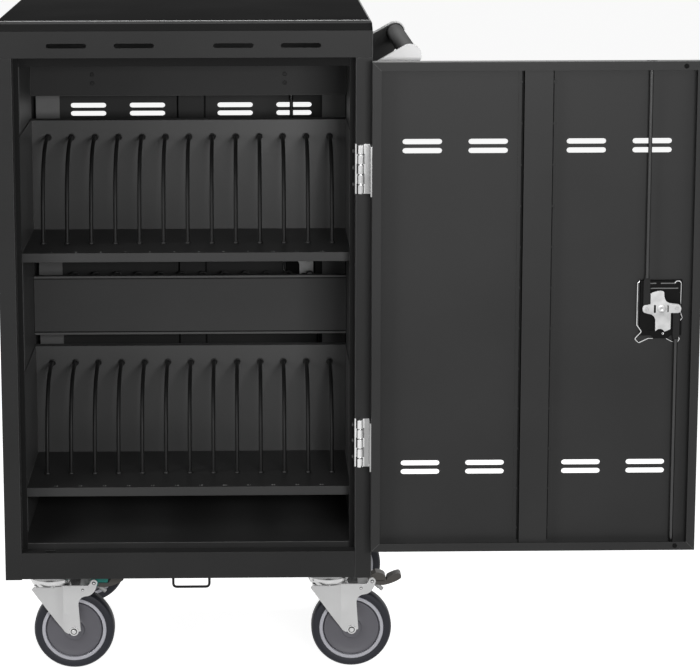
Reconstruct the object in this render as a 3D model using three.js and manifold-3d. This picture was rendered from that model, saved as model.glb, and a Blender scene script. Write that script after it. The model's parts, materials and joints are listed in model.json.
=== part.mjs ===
// Laptop charging cart: a folded-steel cabinet on four swivel casters, with two divider racks,
// a front door and a rear door on wrap-round hinges, two-point rod locks and a push handle.
// Millimetres. X runs across the cart, Y from the front to the back, Z up from the floor.
import * as THREE from "three";
import { mergeVertices } from "three/addons/utils/BufferGeometryUtils.js";
import Module from "manifold-3d";

const wasm = await Module();
wasm.setup();

// Cabinet
const WIDTH = 560;
const DEPTH = 460;
const HEIGHT = 1015;
const SHEET = 1.5;
const FIT = 0.3;
const BODY_BOTTOM = 159;
const APRON_BOTTOM = BODY_BOTTOM + 1.5;
const COVER_HEIGHT = 15;
const COVER_BOTTOM = HEIGHT - COVER_HEIGHT;
const POST_WIDTH = 25;
const POST_DEPTH = 25;
const FRONT_STOP = 8;
const REAR_STOP = 38;
const OPENING_BOTTOM = 201.6;
const OPENING_TOP = 960;
const SIDE = WIDTH / 2;
const POST_INNER = SIDE - POST_WIDTH;

// Doors: folded pans that hang on pins in front of the posts
const DOOR_WIDTH = 492;
const DOOR_BOTTOM = 211;
const DOOR_TOP = 956;
const DOOR_DEPTH = 22;
const DOOR_LIP = 13;
const DOOR_MIDDLE = (DOOR_BOTTOM + DOOR_TOP) / 2;
const PIN_X = 262;
const PIN_Y = 7;
const DOOR_EDGE = 16;
const DOOR_FREE = DOOR_EDGE + DOOR_WIDTH;
const HINGE_HEIGHT = 75;
const HINGE_OFFSET = 210;
const HINGE_SHEET = 2;
const KNUCKLE_RADIUS = 5.2;
const PIN_RADIUS = 2.2;
const KNUCKLES = 5;
const KNUCKLE_GAP = 0.5;
const KNUCKLE_SIDES = 8;
const FRAME_WING = 22;
const DOOR_WING = 20;

// Vent slots
const SLOT_LENGTH = 59;
const SLOT_HEIGHT = 8;
const SLOT_PAIR = 13.5;
const DOOR_SLOT_X = [-171, -73, 73, 171];
const DOOR_SLOT_OFFSET = 245.6;
const HEADER_SLOT_X = [-173.5, -73.5, 73.5, 173.5];
const HEADER_SLOT_Z = 978;

// Two-point lock, on the inside of each door
const LOCK_X = -(DOOR_FREE - 57);
const LOCK_WIDTH = 63;
const LOCK_HEIGHT = 84;
const LOCK_DEPTH = 7.5;
const BEZEL_HALF = [37, 48];
const WELL_RADIUS = 29;
const SPINDLE_RADIUS = 6;
const BOSS_RADIUS = 16;
const GRIP_HALF = 18;
const GRIP_RADIUS = 7;
const ARM_RADIUS = 22.5;
const ARM_TIP = 7;
const CAM_BACK = PIN_Y + 12.4;
const CAM_SHEET = 2.5;
const RIVET_RADIUS = 2;
const ROD_RADIUS = 3;
const PADDLE_TIP = 5;
const ROD_Y = PIN_Y + 11;
const ROD_SLOT = [18, 9];

// Racks
const RACK_FLOORS = { upper: 657, lower: 289 };
const RACK_HALF = 252;
const RACK_FRONT = 58;
const RACK_BACK = 280;
const RACK_HEIGHT = 178;
const RACK_LIP = 14;
const DIVIDERS = 13;
const DIVIDER_PITCH = 37.4;
const DIVIDER_RADIUS = 3.1;
const DIVIDER_TOP = 149;
const DIVIDER_FOOT_Y = 141;

// Push handle on the right side
const HANDLE_X = 338;
const HANDLE_Z = 958;
const HANDLE_RADIUS = 14;
const HANDLE_TIP = 17;
const HANDLE_FRONT = 45;
const HANDLE_BACK = 455;
const BRACKET_THICK = 20;
const BRACKET_FOOT = [845, 945];
const BRACKET_ROUND = 2;

// Casters
const WHEEL_RADIUS = 62.5;
const CASTER_X = 216;
const CASTER_Y = 65;
const TRAIL = 36;
const FORK_INNER = 19;
const FORK_SHEET = 3;
const CASTER_PLATE = [50, 37];
const FORK_FOOT = WHEEL_RADIUS - 7;
const CROWN_TOP = 136;
const CROWN_FRONT = -25;
const SWIVEL_TOP = 152.5;
const SWIVEL_RADIUS = 28;
const PLATE_BOTTOM = 160.2;
const AXLE_RADIUS = 5;
const AXLE_NUT = 9;
const PEDAL_PIVOT = [68, 140];
const EAR_RADIUS = 5.5;
const PEDAL_HALF = 14;
const PEDAL_PIN = 2.5;

function finish(color, roughness, metalness) {
  return new THREE.MeshStandardMaterial({ color, roughness, metalness });
}
const BLACK_PAINT = finish(0x2c2c2e, 0.45, 0.2);
const DIVIDER_PAINT = finish(0x252527, 0.35, 0.2);
const BLACK_PLASTIC = finish(0x161617, 0.4, 0);
const CHROME = finish(0xd4d4d6, 0.18, 1);
const ZINC = finish(0xbfc0c2, 0.35, 1);
const SILVER = finish(0xe4e4e6, 0.35, 0.1);
const WHEEL_GREY = finish(0x4a4c52, 0.55, 0);
const PEDAL_GREY = finish(0x77716a, 0.5, 0.1);

// Solids: a closed geometry becomes a body that can be joined and cut.
function solid(geometry) {
  const bare = geometry.clone();
  bare.deleteAttribute("normal");
  bare.deleteAttribute("uv");
  const merged = mergeVertices(bare, 1e-4);
  const vertProperties = merged.attributes.position.array;
  const triVerts = new Uint32Array(merged.index.array);
  return new wasm.Manifold(new wasm.Mesh({ numProp: 3, vertProperties, triVerts }));
}

function geometryOf(body) {
  const mesh = body.getMesh();
  const geometry = new THREE.BufferGeometry();
  const positions = new Float32Array(mesh.vertProperties);
  geometry.setAttribute("position", new THREE.BufferAttribute(positions, 3));
  geometry.setIndex(new THREE.BufferAttribute(new Uint32Array(mesh.triVerts), 1));
  geometry.computeVertexNormals();
  return geometry;
}

function join(...geometries) {
  return geometryOf(geometries.map(solid).reduce((whole, next) => whole.add(next)));
}

function cut(base, ...tools) {
  return geometryOf(tools.map(solid).reduce((rest, tool) => rest.subtract(tool), solid(base)));
}

function box(x0, x1, y0, y1, z0, z1) {
  const geometry = new THREE.BoxGeometry(x1 - x0, y1 - y0, z1 - z0);
  return geometry.translate((x0 + x1) / 2, (y0 + y1) / 2, (z0 + z1) / 2);
}

function extrude(shape, depth, curveSegments = 2) {
  return new THREE.ExtrudeGeometry(shape, { depth, bevelEnabled: false, curveSegments });
}

const X_AXIS = new THREE.Vector3(1, 0, 0);
const Y_AXIS = new THREE.Vector3(0, 1, 0);
const Z_AXIS = new THREE.Vector3(0, 0, 1);
const PROFILE_ALONG_X = new THREE.Matrix4().makeBasis(Y_AXIS, Z_AXIS, X_AXIS);
const PROFILE_ALONG_Y = new THREE.Matrix4().makeBasis(X_AXIS, Z_AXIS, Y_AXIS.clone().negate());

// A plan outline (x, y) raised from z0 to z1.
function alongZ(shape, z0, z1, segments) {
  return extrude(shape, z1 - z0, segments).translate(0, 0, z0);
}

// A side outline (y, z) carried from x0 to x1.
function alongX(shape, x0, x1, segments) {
  return extrude(shape, x1 - x0, segments).applyMatrix4(PROFILE_ALONG_X).translate(x0, 0, 0);
}

// A front outline (x, z) carried from y0 to y1.
function alongY(shape, y0, y1, segments) {
  return extrude(shape, y1 - y0, segments).applyMatrix4(PROFILE_ALONG_Y).translate(0, y1, 0);
}

function outline(points) {
  return new THREE.Shape(points.map(([u, v]) => new THREE.Vector2(u, v)));
}

function circle(u, v, radius, sides = 12) {
  const points = [];
  for (let i = 0; i < sides; i++) {
    const angle = (2 * Math.PI * i) / sides;
    points.push([u + radius * Math.cos(angle), v + radius * Math.sin(angle)]);
  }
  return outline(points);
}

function roundedRect(u0, u1, v0, v1, radius) {
  const shape = new THREE.Shape();
  shape.absarc(u1 - radius, v1 - radius, radius, 0, Math.PI / 2);
  shape.absarc(u0 + radius, v1 - radius, radius, Math.PI / 2, Math.PI);
  shape.absarc(u0 + radius, v0 + radius, radius, Math.PI, 1.5 * Math.PI);
  shape.absarc(u1 - radius, v0 + radius, radius, 1.5 * Math.PI, 2 * Math.PI);
  return shape;
}

function slot(u, v, length, height) {
  const shape = new THREE.Shape();
  const reach = (length - height) / 2;
  shape.absarc(u + reach, v, height / 2, -Math.PI / 2, Math.PI / 2);
  shape.absarc(u - reach, v, height / 2, Math.PI / 2, 1.5 * Math.PI);
  return shape;
}

// The section of a folded sheet: the given line is its outer face, the metal lies to its left.
function folded(points, thickness = SHEET) {
  const line = points.map(([u, v]) => new THREE.Vector2(u, v));
  const normals = [];
  for (let i = 0; i + 1 < line.length; i++) {
    const step = line[i + 1].clone().sub(line[i]).normalize();
    normals.push(new THREE.Vector2(-step.y, step.x));
  }
  const inner = line.map((point, i) => {
    const before = normals[Math.max(i - 1, 0)];
    const after = normals[Math.min(i, normals.length - 1)];
    const mitre = before.clone().add(after);
    return point.clone().addScaledVector(mitre, (2 * thickness) / mitre.lengthSq());
  });
  return new THREE.Shape([...line, ...inner.reverse()]);
}

function tube(curve, radius, sides, steps) {
  return new THREE.ExtrudeGeometry(circle(0, 0, radius, sides), {
    extrudePath: curve,
    steps,
    bevelEnabled: false,
  });
}

// A revolved profile of [radius, height] points about an upright axis.
function lathe(profile, sides) {
  const points = profile.map(([radius, height]) => new THREE.Vector2(radius, height));
  return new THREE.LatheGeometry(points, sides).rotateX(Math.PI / 2);
}

// A solid through a stack of rounded rectangles, each given by its height and its inset.
function loftedPan(x0, x1, y0, y1, radius, rings) {
  const loops = rings.map(([z, inset]) => {
    const ring = roundedRect(x0 + inset, x1 - inset, y0 + inset, y1 - inset, radius);
    return ring.getPoints(2).map((p) => [p.x, p.y, z]);
  });
  const count = loops[0].length;
  const positions = loops.flat(2);
  const faces = [];
  for (let level = 0; level + 1 < loops.length; level++) {
    for (let i = 0; i < count; i++) {
      const next = (i + 1) % count;
      const low = level * count;
      const high = low + count;
      faces.push(low + i, low + next, high + next, low + i, high + next, high + i);
    }
  }
  const top = (loops.length - 1) * count;
  for (let i = 1; i + 1 < count; i++) {
    faces.push(0, i + 1, i, top, top + i, top + i + 1);
  }
  const geometry = new THREE.BufferGeometry();
  geometry.setAttribute("position", new THREE.Float32BufferAttribute(positions, 3));
  geometry.setIndex(faces);
  return geometry;
}

const cart = new THREE.Group();

function add(group, name, geometry, material) {
  const mesh = new THREE.Mesh(geometry, material);
  mesh.name = name;
  group.add(mesh);
  return mesh;
}

// Side panels: one sheet each, folded round both posts, with the door stops as the last fold.
// Above the door opening only the wall goes on, up to a ledge that carries the cover.
const LEDGE = 18;
const LEDGE_INSET = 30;
const WALL_LAP = 10;
function leftSide() {
  const posts = folded([
    [-POST_INNER + REAR_STOP, DEPTH - POST_DEPTH],
    [-POST_INNER, DEPTH - POST_DEPTH],
    [-POST_INNER, DEPTH],
    [-SIDE, DEPTH],
    [-SIDE, 0],
    [-POST_INNER, 0],
    [-POST_INNER, POST_DEPTH],
    [-POST_INNER + FRONT_STOP, POST_DEPTH],
  ]);
  const wall = folded([
    [-SIDE + LEDGE, COVER_BOTTOM - FIT],
    [-SIDE, COVER_BOTTOM - FIT],
    [-SIDE, OPENING_TOP - WALL_LAP],
  ]);
  const ledge = alongY(wall, LEDGE_INSET, DEPTH - LEDGE_INSET);
  const corner = box(-SIDE, -SIDE + SHEET, 0, DEPTH, OPENING_TOP - WALL_LAP, COVER_BOTTOM - FIT);
  return join(alongZ(posts, BODY_BOTTOM, OPENING_TOP - FIT), corner, ledge);
}
const leftPanel = leftSide();
const rightPanel = geometryOf(solid(leftPanel).mirror([1, 0, 0]));

// Mains inlet low on the left wall, near the back, behind a cut-out of its own size.
const INLET = { y: 372, z: 262, width: 27, height: 47 };
const INLET_FLANGE = [34, 58];
const INLET_WELL = [17, 25];
function inletOpening(width, height) {
  const { y, z } = INLET;
  return roundedRect(y - width / 2, y + width / 2, z - height / 2, z + height / 2, 3);
}
const inletCut = alongX(inletOpening(INLET.width, INLET.height), -SIDE - 1, -SIDE + 5);
add(cart, "left_side_panel", cut(leftPanel, inletCut), BLACK_PAINT);
add(cart, "right_side_panel", rightPanel, BLACK_PAINT);

const inletFlange = alongX(inletOpening(...INLET_FLANGE), -SIDE - FIT - 2.5, -SIDE - FIT);
const inletBody = alongX(inletOpening(INLET.width - 0.8, INLET.height - 0.8), -SIDE - 1.5, -SIDE + 22);
const inletWell = alongX(inletOpening(...INLET_WELL), -SIDE - 5, -SIDE + 12);
add(cart, "power_inlet", cut(join(inletFlange, inletBody), inletWell), BLACK_PLASTIC);

// Top cover: a shallow pan with rounded upper edges and slightly leaning sides.
const coverRings = [[COVER_BOTTOM, 0], [COVER_BOTTOM + 10, 1], [HEIGHT - 1.5, 2.4], [HEIGHT, 5.5]];
const coverOuter = loftedPan(-SIDE, SIDE, 0, DEPTH, 5, coverRings);
const coverInside = box(
  -SIDE + 4, SIDE - 4, 4, DEPTH - 4, COVER_BOTTOM - 5, HEIGHT - SHEET,
);
add(cart, "top_cover", cut(coverOuter, coverInside), BLACK_PAINT);

// Base plate that carries the casters, notched round the posts and their stops.
const BASE_BOTTOM = 163;
const STOP_CLEAR = 0.5;
const baseInset = POST_DEPTH + SHEET + FIT;
const baseSide = SIDE - SHEET - FIT;
const baseEnd = SHEET + FIT;
const frontNotch = POST_INNER - FRONT_STOP - STOP_CLEAR;
const rearNotch = POST_INNER - REAR_STOP - STOP_CLEAR;
const baseRight = [
  [frontNotch, baseEnd],
  [frontNotch, baseInset],
  [baseSide, baseInset],
  [baseSide, DEPTH - baseInset],
  [rearNotch, DEPTH - baseInset],
  [rearNotch, DEPTH - baseEnd],
];
const baseLeft = baseRight.map(([x, y]) => [-x, y]).reverse();
const basePlan = outline([...baseRight, ...baseLeft]);
add(cart, "base_plate", alongZ(basePlan, BASE_BOTTOM, BASE_BOTTOM + SHEET), BLACK_PAINT);

// Bottom tray: a shallow inverted pan between the uprights.
const TRAY_TOP = 209;
const TRAY_DEPTH = 12;
const TRAY_FRONT = 30;
const TRAY_BACK = DEPTH - TRAY_FRONT;
const trayOuter = box(-RACK_HALF, RACK_HALF, TRAY_FRONT, TRAY_BACK, TRAY_TOP - TRAY_DEPTH, TRAY_TOP);
const trayInside = box(
  -RACK_HALF + SHEET, RACK_HALF - SHEET, TRAY_FRONT + SHEET, TRAY_BACK - SHEET,
  TRAY_TOP - TRAY_DEPTH - 1, TRAY_TOP - SHEET,
);
add(cart, "bottom_tray", cut(trayOuter, trayInside), BLACK_PAINT);

// Uprights: channels on the side walls that the racks and the partition are fixed to.
const UPRIGHT_FRONT = 95;
const UPRIGHT_BACK = 300;
function upright(side) {
  const wall = SIDE - SHEET - FIT;
  const web = RACK_HALF + FIT;
  const plan = [[-wall, UPRIGHT_FRONT], [-web, UPRIGHT_FRONT], [-web, UPRIGHT_BACK], [-wall, UPRIGHT_BACK]];
  const placed = side < 0 ? plan : plan.map(([x, y]) => [-x, y]).reverse();
  return alongZ(folded(placed), 164.8, COVER_BOTTOM - 4);
}
add(cart, "left_upright", upright(-1), BLACK_PAINT);
add(cart, "right_upright", upright(1), BLACK_PAINT);

// Racks: a tray with a folded front lip and two cheeks, and a back panel with the divider rods.
function rackTray(floor) {
  const pan = folded([
    [RACK_BACK - FIT, floor],
    [RACK_FRONT, floor],
    [RACK_FRONT, floor - RACK_LIP],
    [RACK_FRONT + 9, floor - RACK_LIP],
  ]);
  const top = floor + RACK_HEIGHT;
  const cheek = new THREE.Shape();
  cheek.moveTo(RACK_FRONT + 3, floor - SHEET);
  cheek.lineTo(RACK_BACK - FIT, floor - SHEET);
  cheek.lineTo(RACK_BACK - FIT, top);
  cheek.absarc(RACK_FRONT + 19, top - 16, 16, Math.PI / 2, Math.PI);
  const left = alongX(cheek, -RACK_HALF, -RACK_HALF + SHEET);
  const right = alongX(cheek, RACK_HALF - SHEET, RACK_HALF);
  return join(alongX(pan, -RACK_HALF, RACK_HALF), left, right);
}

function dividerRod(x, floor) {
  const start = new THREE.Vector3(x, RACK_BACK + 1, floor + DIVIDER_TOP);
  const reach = new THREE.Vector3(x, RACK_BACK - 108, floor + DIVIDER_TOP + 7);
  const bend = new THREE.Vector3(x, DIVIDER_FOOT_Y + 9, floor + 110);
  const foot = new THREE.Vector3(x, DIVIDER_FOOT_Y, floor + FIT);
  return tube(new THREE.CubicBezierCurve3(start, reach, bend, foot), DIVIDER_RADIUS, 6, 5);
}

function rackBack(floor) {
  const panel = folded([
    [RACK_BACK + 9, floor + RACK_HEIGHT],
    [RACK_BACK, floor + RACK_HEIGHT],
    [RACK_BACK, floor - 8],
  ]);
  const pieces = [alongX(panel, -RACK_HALF, RACK_HALF)];
  for (let i = 0; i < DIVIDERS; i++) {
    pieces.push(dividerRod((i - (DIVIDERS - 1) / 2) * DIVIDER_PITCH, floor));
  }
  return join(...pieces);
}

for (const [level, floor] of Object.entries(RACK_FLOORS)) {
  add(cart, `${level}_rack_tray`, rackTray(floor), BLACK_PAINT);
  add(cart, `${level}_rack_back`, rackBack(floor), DIVIDER_PAINT);
}

// Partition behind the racks: a top rail and a middle panel, both with folded edges.
function partition(bottom, top) {
  const section = folded([
    [RACK_BACK + 12, top],
    [RACK_BACK, top],
    [RACK_BACK, bottom],
    [RACK_BACK + 12, bottom],
  ]);
  return alongX(section, -RACK_HALF, RACK_HALF);
}
add(cart, "partition_top_rail", partition(872, COVER_BOTTOM - 5), BLACK_PAINT);
add(cart, "partition_middle_panel", partition(484, 580), BLACK_PAINT);

// Power strips on the rear of the partition, one outlet for each device.
const OUTLETS = 12;
const OUTLET_PITCH = 35.7;
const OUTLET_RADIUS = 13;
const STRIP_DEPTH = 38;
const STRIP_HALF = 22;
const STRIP_REACH = 236;
function powerStrip(middle) {
  const front = RACK_BACK + SHEET + FIT;
  const face = front + STRIP_DEPTH;
  const section = roundedRect(front, face, middle - STRIP_HALF, middle + STRIP_HALF, 4);
  const housing = alongX(section, -STRIP_REACH, STRIP_REACH, 1);
  const wells = [];
  for (let i = 0; i < OUTLETS; i++) {
    const x = (i - (OUTLETS - 1) / 2) * OUTLET_PITCH;
    wells.push(alongY(circle(x, middle, OUTLET_RADIUS, 6), face - 6, face + 5));
  }
  return cut(housing, ...wells);
}
add(cart, "upper_power_strip", powerStrip(899), BLACK_PLASTIC);
add(cart, "lower_power_strip", powerStrip(532), BLACK_PLASTIC);

// Cable comb: a bar across the rear posts with one open ring for each lead.
function cableComb() {
  const back = DEPTH - POST_DEPTH - SHEET - FIT;
  const barTop = 546;
  const pieces = [box(-POST_INNER + 1, POST_INNER - 1, back - 2, back, barTop - 16, barTop)];
  for (let i = 0; i < OUTLETS; i++) {
    const x = (i - (OUTLETS - 1) / 2) * OUTLET_PITCH;
    const ring = new THREE.Shape();
    ring.absarc(x, barTop + 6, 7.5, -0.1 * Math.PI, 1.6 * Math.PI);
    ring.absarc(x, barTop + 6, 5, 1.6 * Math.PI, -0.1 * Math.PI, true);
    pieces.push(alongY(ring, back - 5, back));
  }
  return join(...pieces);
}
add(cart, "cable_comb", cableComb(), BLACK_PLASTIC);

// Push handle: a tube between two fin-shaped brackets on the right wall. Each bracket's sides leave
// its foot on the wall and meet the round tip as tangents.
function tangentAngle(px, pz, side) {
  const dx = HANDLE_X - px;
  const dz = HANDLE_Z - pz;
  const turn = side * Math.asin(HANDLE_TIP / Math.hypot(dx, dz));
  return Math.atan2(dz, dx) + turn + (side * Math.PI) / 2;
}
function handleBracket(y0) {
  const wall = SIDE + FIT;
  const shape = new THREE.Shape();
  const [low, high] = BRACKET_FOOT;
  const from = tangentAngle(wall, low, -1);
  const to = tangentAngle(wall, high, 1);
  shape.moveTo(wall, high);
  shape.lineTo(wall, low);
  shape.absarc(HANDLE_X, HANDLE_Z, HANDLE_TIP, from, to);
  const body = new THREE.ExtrudeGeometry(shape, {
    depth: BRACKET_THICK - 2 * BRACKET_ROUND,
    bevelThickness: BRACKET_ROUND,
    bevelSize: BRACKET_ROUND,
    bevelOffset: -BRACKET_ROUND,
    bevelSegments: 1,
    curveSegments: 5,
  });
  return body.applyMatrix4(PROFILE_ALONG_Y).translate(0, y0 + BRACKET_THICK - BRACKET_ROUND, 0);
}
add(cart, "handle_bracket_front", handleBracket(HANDLE_FRONT), SILVER);
add(cart, "handle_bracket_rear", handleBracket(HANDLE_BACK - BRACKET_THICK), SILVER);
const gripFront = HANDLE_FRONT + BRACKET_THICK + FIT;
const gripBack = HANDLE_BACK - BRACKET_THICK - FIT;
const grip = alongY(circle(HANDLE_X, HANDLE_Z, HANDLE_RADIUS, 20), gripFront, gripBack);
add(cart, "handle_tube", grip, BLACK_PLASTIC);

// Wire loop under the front apron.
const LOOP_HALF = 28;
const LOOP_DROP = 15;
const LOOP_WIRE = 2;
function pullLoop() {
  const top = APRON_BOTTOM - FIT;
  const path = new THREE.CurvePath();
  const corner = 5;
  const low = BODY_BOTTOM - LOOP_DROP;
  const half = LOOP_HALF;
  const at = (x, z) => new THREE.Vector3(x + 4, 9, z);
  path.add(new THREE.LineCurve3(at(-half, top), at(-half, low + corner)));
  path.add(new THREE.QuadraticBezierCurve3(
    at(-half, low + corner), at(-half, low), at(-half + corner, low),
  ));
  path.add(new THREE.LineCurve3(at(-half + corner, low), at(half - corner, low)));
  path.add(new THREE.QuadraticBezierCurve3(
    at(half - corner, low), at(half, low), at(half, low + corner),
  ));
  path.add(new THREE.LineCurve3(at(half, low + corner), at(half, top)));
  return tube(path, LOOP_WIRE, 6, 12);
}
add(cart, "pull_loop", pullLoop(), BLACK_PAINT);

// Header and apron close the frame above and below a door. The lock rods shoot into their slots.
const HEADER_LEDGE = 28;
const HEADER_SLOT = [60, 7];
const STOP_DROP = 15;
const APRON_LEDGE = 24;
const APRON_FOLD = 15;
function header(stopWidth) {
  const section = folded([
    [HEADER_LEDGE, COVER_BOTTOM - FIT],
    [0, COVER_BOTTOM - FIT],
    [0, OPENING_TOP],
    [POST_DEPTH, OPENING_TOP],
    [POST_DEPTH, OPENING_TOP - STOP_DROP],
  ]);
  const reach = SIDE - SHEET - FIT;
  const stopReach = POST_INNER - stopWidth - STOP_CLEAR;
  const strike = slot(PIN_X + LOCK_X + ARM_RADIUS, ROD_Y - PIN_Y, ...ROD_SLOT);
  const notch = [POST_DEPTH - 1, POST_DEPTH + 3, OPENING_TOP - STOP_DROP - 1, OPENING_TOP - 0.1];
  const tools = [
    box(-reach - 1, -stopReach, ...notch),
    box(stopReach, reach + 1, ...notch),
    alongZ(strike, OPENING_TOP - 2, OPENING_TOP + 5),
  ];
  for (const x of HEADER_SLOT_X) {
    tools.push(alongY(slot(x, HEADER_SLOT_Z, ...HEADER_SLOT), -3, 5));
  }
  return cut(alongX(section, -reach, reach), ...tools);
}

function apron() {
  const section = folded([
    [APRON_LEDGE, OPENING_BOTTOM],
    [0, OPENING_BOTTOM],
    [0, APRON_BOTTOM],
    [APRON_FOLD, APRON_BOTTOM],
  ]);
  const reach = POST_INNER - FIT;
  const strike = slot(PIN_X + LOCK_X - ARM_RADIUS, ROD_Y - PIN_Y, ...ROD_SLOT);
  return cut(alongX(section, -reach, reach), alongZ(strike, OPENING_BOTTOM - 5, OPENING_BOTTOM + 5));
}

// Hinges: each leaf wraps from its own edge face round to the barrel in front of the post. The barrel's
// knuckles belong in turn to the door leaf and the frame leaf, and the pin is fixed in the frame leaf.
function knuckleSpan(middle, index) {
  const pitch = HINGE_HEIGHT / KNUCKLES;
  const low = middle - HINGE_HEIGHT / 2 + index * pitch;
  return [low + KNUCKLE_GAP / 2, low + pitch - KNUCKLE_GAP / 2];
}

function frameLeaf(middle) {
  const low = middle - HINGE_HEIGHT / 2;
  const high = middle + HINGE_HEIGHT / 2;
  const wing = [POST_INNER - FIT - HINGE_SHEET, POST_INNER - FIT];
  const front = [-FIT - HINGE_SHEET, -FIT];
  const clear = PIN_X - KNUCKLE_RADIUS - 2 * FIT;
  const pieces = [
    box(...wing, front[0], FRAME_WING, low, high),
    box(wing[0], clear, ...front, low, high),
    alongZ(circle(PIN_X, -PIN_Y, PIN_RADIUS, 6), low + 1, high - 1),
  ];
  for (let i = 1; i < KNUCKLES; i += 2) {
    const span = knuckleSpan(middle, i);
    pieces.push(box(wing[0], PIN_X, ...front, ...span));
    pieces.push(alongZ(circle(PIN_X, -PIN_Y, KNUCKLE_RADIUS, KNUCKLE_SIDES), ...span));
  }
  return join(...pieces);
}

function doorLeaf(middle) {
  const low = middle - HINGE_HEIGHT / 2;
  const high = middle + HINGE_HEIGHT / 2;
  const wing = [-DOOR_EDGE + FIT, -DOOR_EDGE + FIT + HINGE_SHEET];
  const front = [-KNUCKLE_RADIUS - 1.5, -KNUCKLE_RADIUS + 0.5];
  const pieces = [
    box(...wing, front[0], PIN_Y + DOOR_WING, low, high),
    box(wing[0], -KNUCKLE_RADIUS - 2 * FIT, ...front, low, high),
  ];
  for (let i = 0; i < KNUCKLES; i += 2) {
    const span = knuckleSpan(middle, i);
    pieces.push(box(wing[0], 0, ...front, ...span));
    pieces.push(alongZ(circle(0, 0, KNUCKLE_RADIUS, KNUCKLE_SIDES), ...span));
  }
  return cut(join(...pieces), alongZ(circle(0, 0, PIN_RADIUS + 0.9, 6), low, high));
}

// Door panel: a folded pan with a lip all round, vent slots in pairs and a welded hat stiffener.
// It is drawn closed, with the hinge pin as its origin and its outer face towards -Y.
const HAT_SHEET = 1.2;
const HAT_HALF = 21;
const HAT_FOOT = HAT_HALF + 8;
const HAT_DEPTH = 13;
function doorPanel() {
  const skin = PIN_Y;
  const back = PIN_Y + DOOR_DEPTH;
  const middle = -(DOOR_EDGE + DOOR_FREE) / 2;
  const outer = box(-DOOR_FREE, -DOOR_EDGE, skin, back, DOOR_BOTTOM, DOOR_TOP);
  const tools = [
    box(
      -DOOR_FREE + SHEET, -DOOR_EDGE - SHEET, skin + SHEET, back - SHEET,
      DOOR_BOTTOM + SHEET, DOOR_TOP - SHEET,
    ),
    box(
      -DOOR_FREE + DOOR_LIP, -DOOR_EDGE - DOOR_LIP, back - 5, back + 5,
      DOOR_BOTTOM + DOOR_LIP, DOOR_TOP - DOOR_LIP,
    ),
    box(
      LOCK_X - LOCK_WIDTH / 2 - FIT, LOCK_X + LOCK_WIDTH / 2 + FIT, skin - 5, skin + 5,
      DOOR_MIDDLE - LOCK_HEIGHT / 2 - FIT, DOOR_MIDDLE + LOCK_HEIGHT / 2 + FIT,
    ),
    alongZ(slot(LOCK_X + ARM_RADIUS, ROD_Y, ...ROD_SLOT), DOOR_TOP - 5, DOOR_TOP + 5),
    alongZ(slot(LOCK_X - ARM_RADIUS, ROD_Y, ...ROD_SLOT), DOOR_BOTTOM - 5, DOOR_BOTTOM + 5),
  ];
  for (const x of DOOR_SLOT_X) {
    for (const side of [-1, 1]) {
      for (const row of [-0.5, 0.5]) {
        const z = DOOR_MIDDLE + side * DOOR_SLOT_OFFSET + row * SLOT_PAIR;
        tools.push(alongY(slot(middle + x, z, SLOT_LENGTH, SLOT_HEIGHT), skin - 5, skin + 5));
      }
    }
  }
  const base = skin + SHEET - 0.1;
  const hat = folded([
    [middle + HAT_FOOT, base + HAT_SHEET],
    [middle + HAT_HALF, base + HAT_SHEET],
    [middle + HAT_HALF, base + HAT_DEPTH],
    [middle - HAT_HALF, base + HAT_DEPTH],
    [middle - HAT_HALF, base + HAT_SHEET],
    [middle - HAT_FOOT, base + HAT_SHEET],
  ], HAT_SHEET);
  return join(cut(outer, ...tools), alongZ(hat, DOOR_BOTTOM + 4, DOOR_TOP - 4));
}

// Lock body: a moulded cup through the door skin, with a round well for the turn handle.
function lockBody() {
  const z = DOOR_MIDDLE;
  const [bezelX, bezelZ] = BEZEL_HALF;
  const bezel = roundedRect(LOCK_X - bezelX, LOCK_X + bezelX, z - bezelZ, z + bezelZ, 8);
  const halfWidth = LOCK_WIDTH / 2;
  const halfHeight = LOCK_HEIGHT / 2;
  const boxPart = box(
    LOCK_X - halfWidth, LOCK_X + halfWidth, PIN_Y - 1, PIN_Y + LOCK_DEPTH, z - halfHeight, z + halfHeight,
  );
  const whole = join(alongY(bezel, PIN_Y - FIT - 2.5, PIN_Y - FIT), boxPart);
  const well = alongY(circle(LOCK_X, z, WELL_RADIUS, 20), PIN_Y - 10, PIN_Y + 4);
  return cut(whole, well, alongY(circle(LOCK_X, z, SPINDLE_RADIUS + 1), PIN_Y - 10, PIN_Y + 20));
}

// Turn handle: a round boss with a grip bar, and the spindle that carries the cam.
function lockHandle() {
  const z = DOOR_MIDDLE;
  const bar = new THREE.Shape();
  bar.absarc(LOCK_X, z + GRIP_HALF, GRIP_RADIUS, 0, Math.PI);
  bar.absarc(LOCK_X, z - GRIP_HALF, GRIP_RADIUS, Math.PI, 2 * Math.PI);
  return join(
    alongY(circle(LOCK_X, z, BOSS_RADIUS, 16), PIN_Y - 4, PIN_Y + 3.6),
    alongY(bar, PIN_Y - 11, PIN_Y + 1, 3),
    alongY(circle(LOCK_X, z, SPINDLE_RADIUS), PIN_Y + 3, PIN_Y + 12),
  );
}

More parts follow.
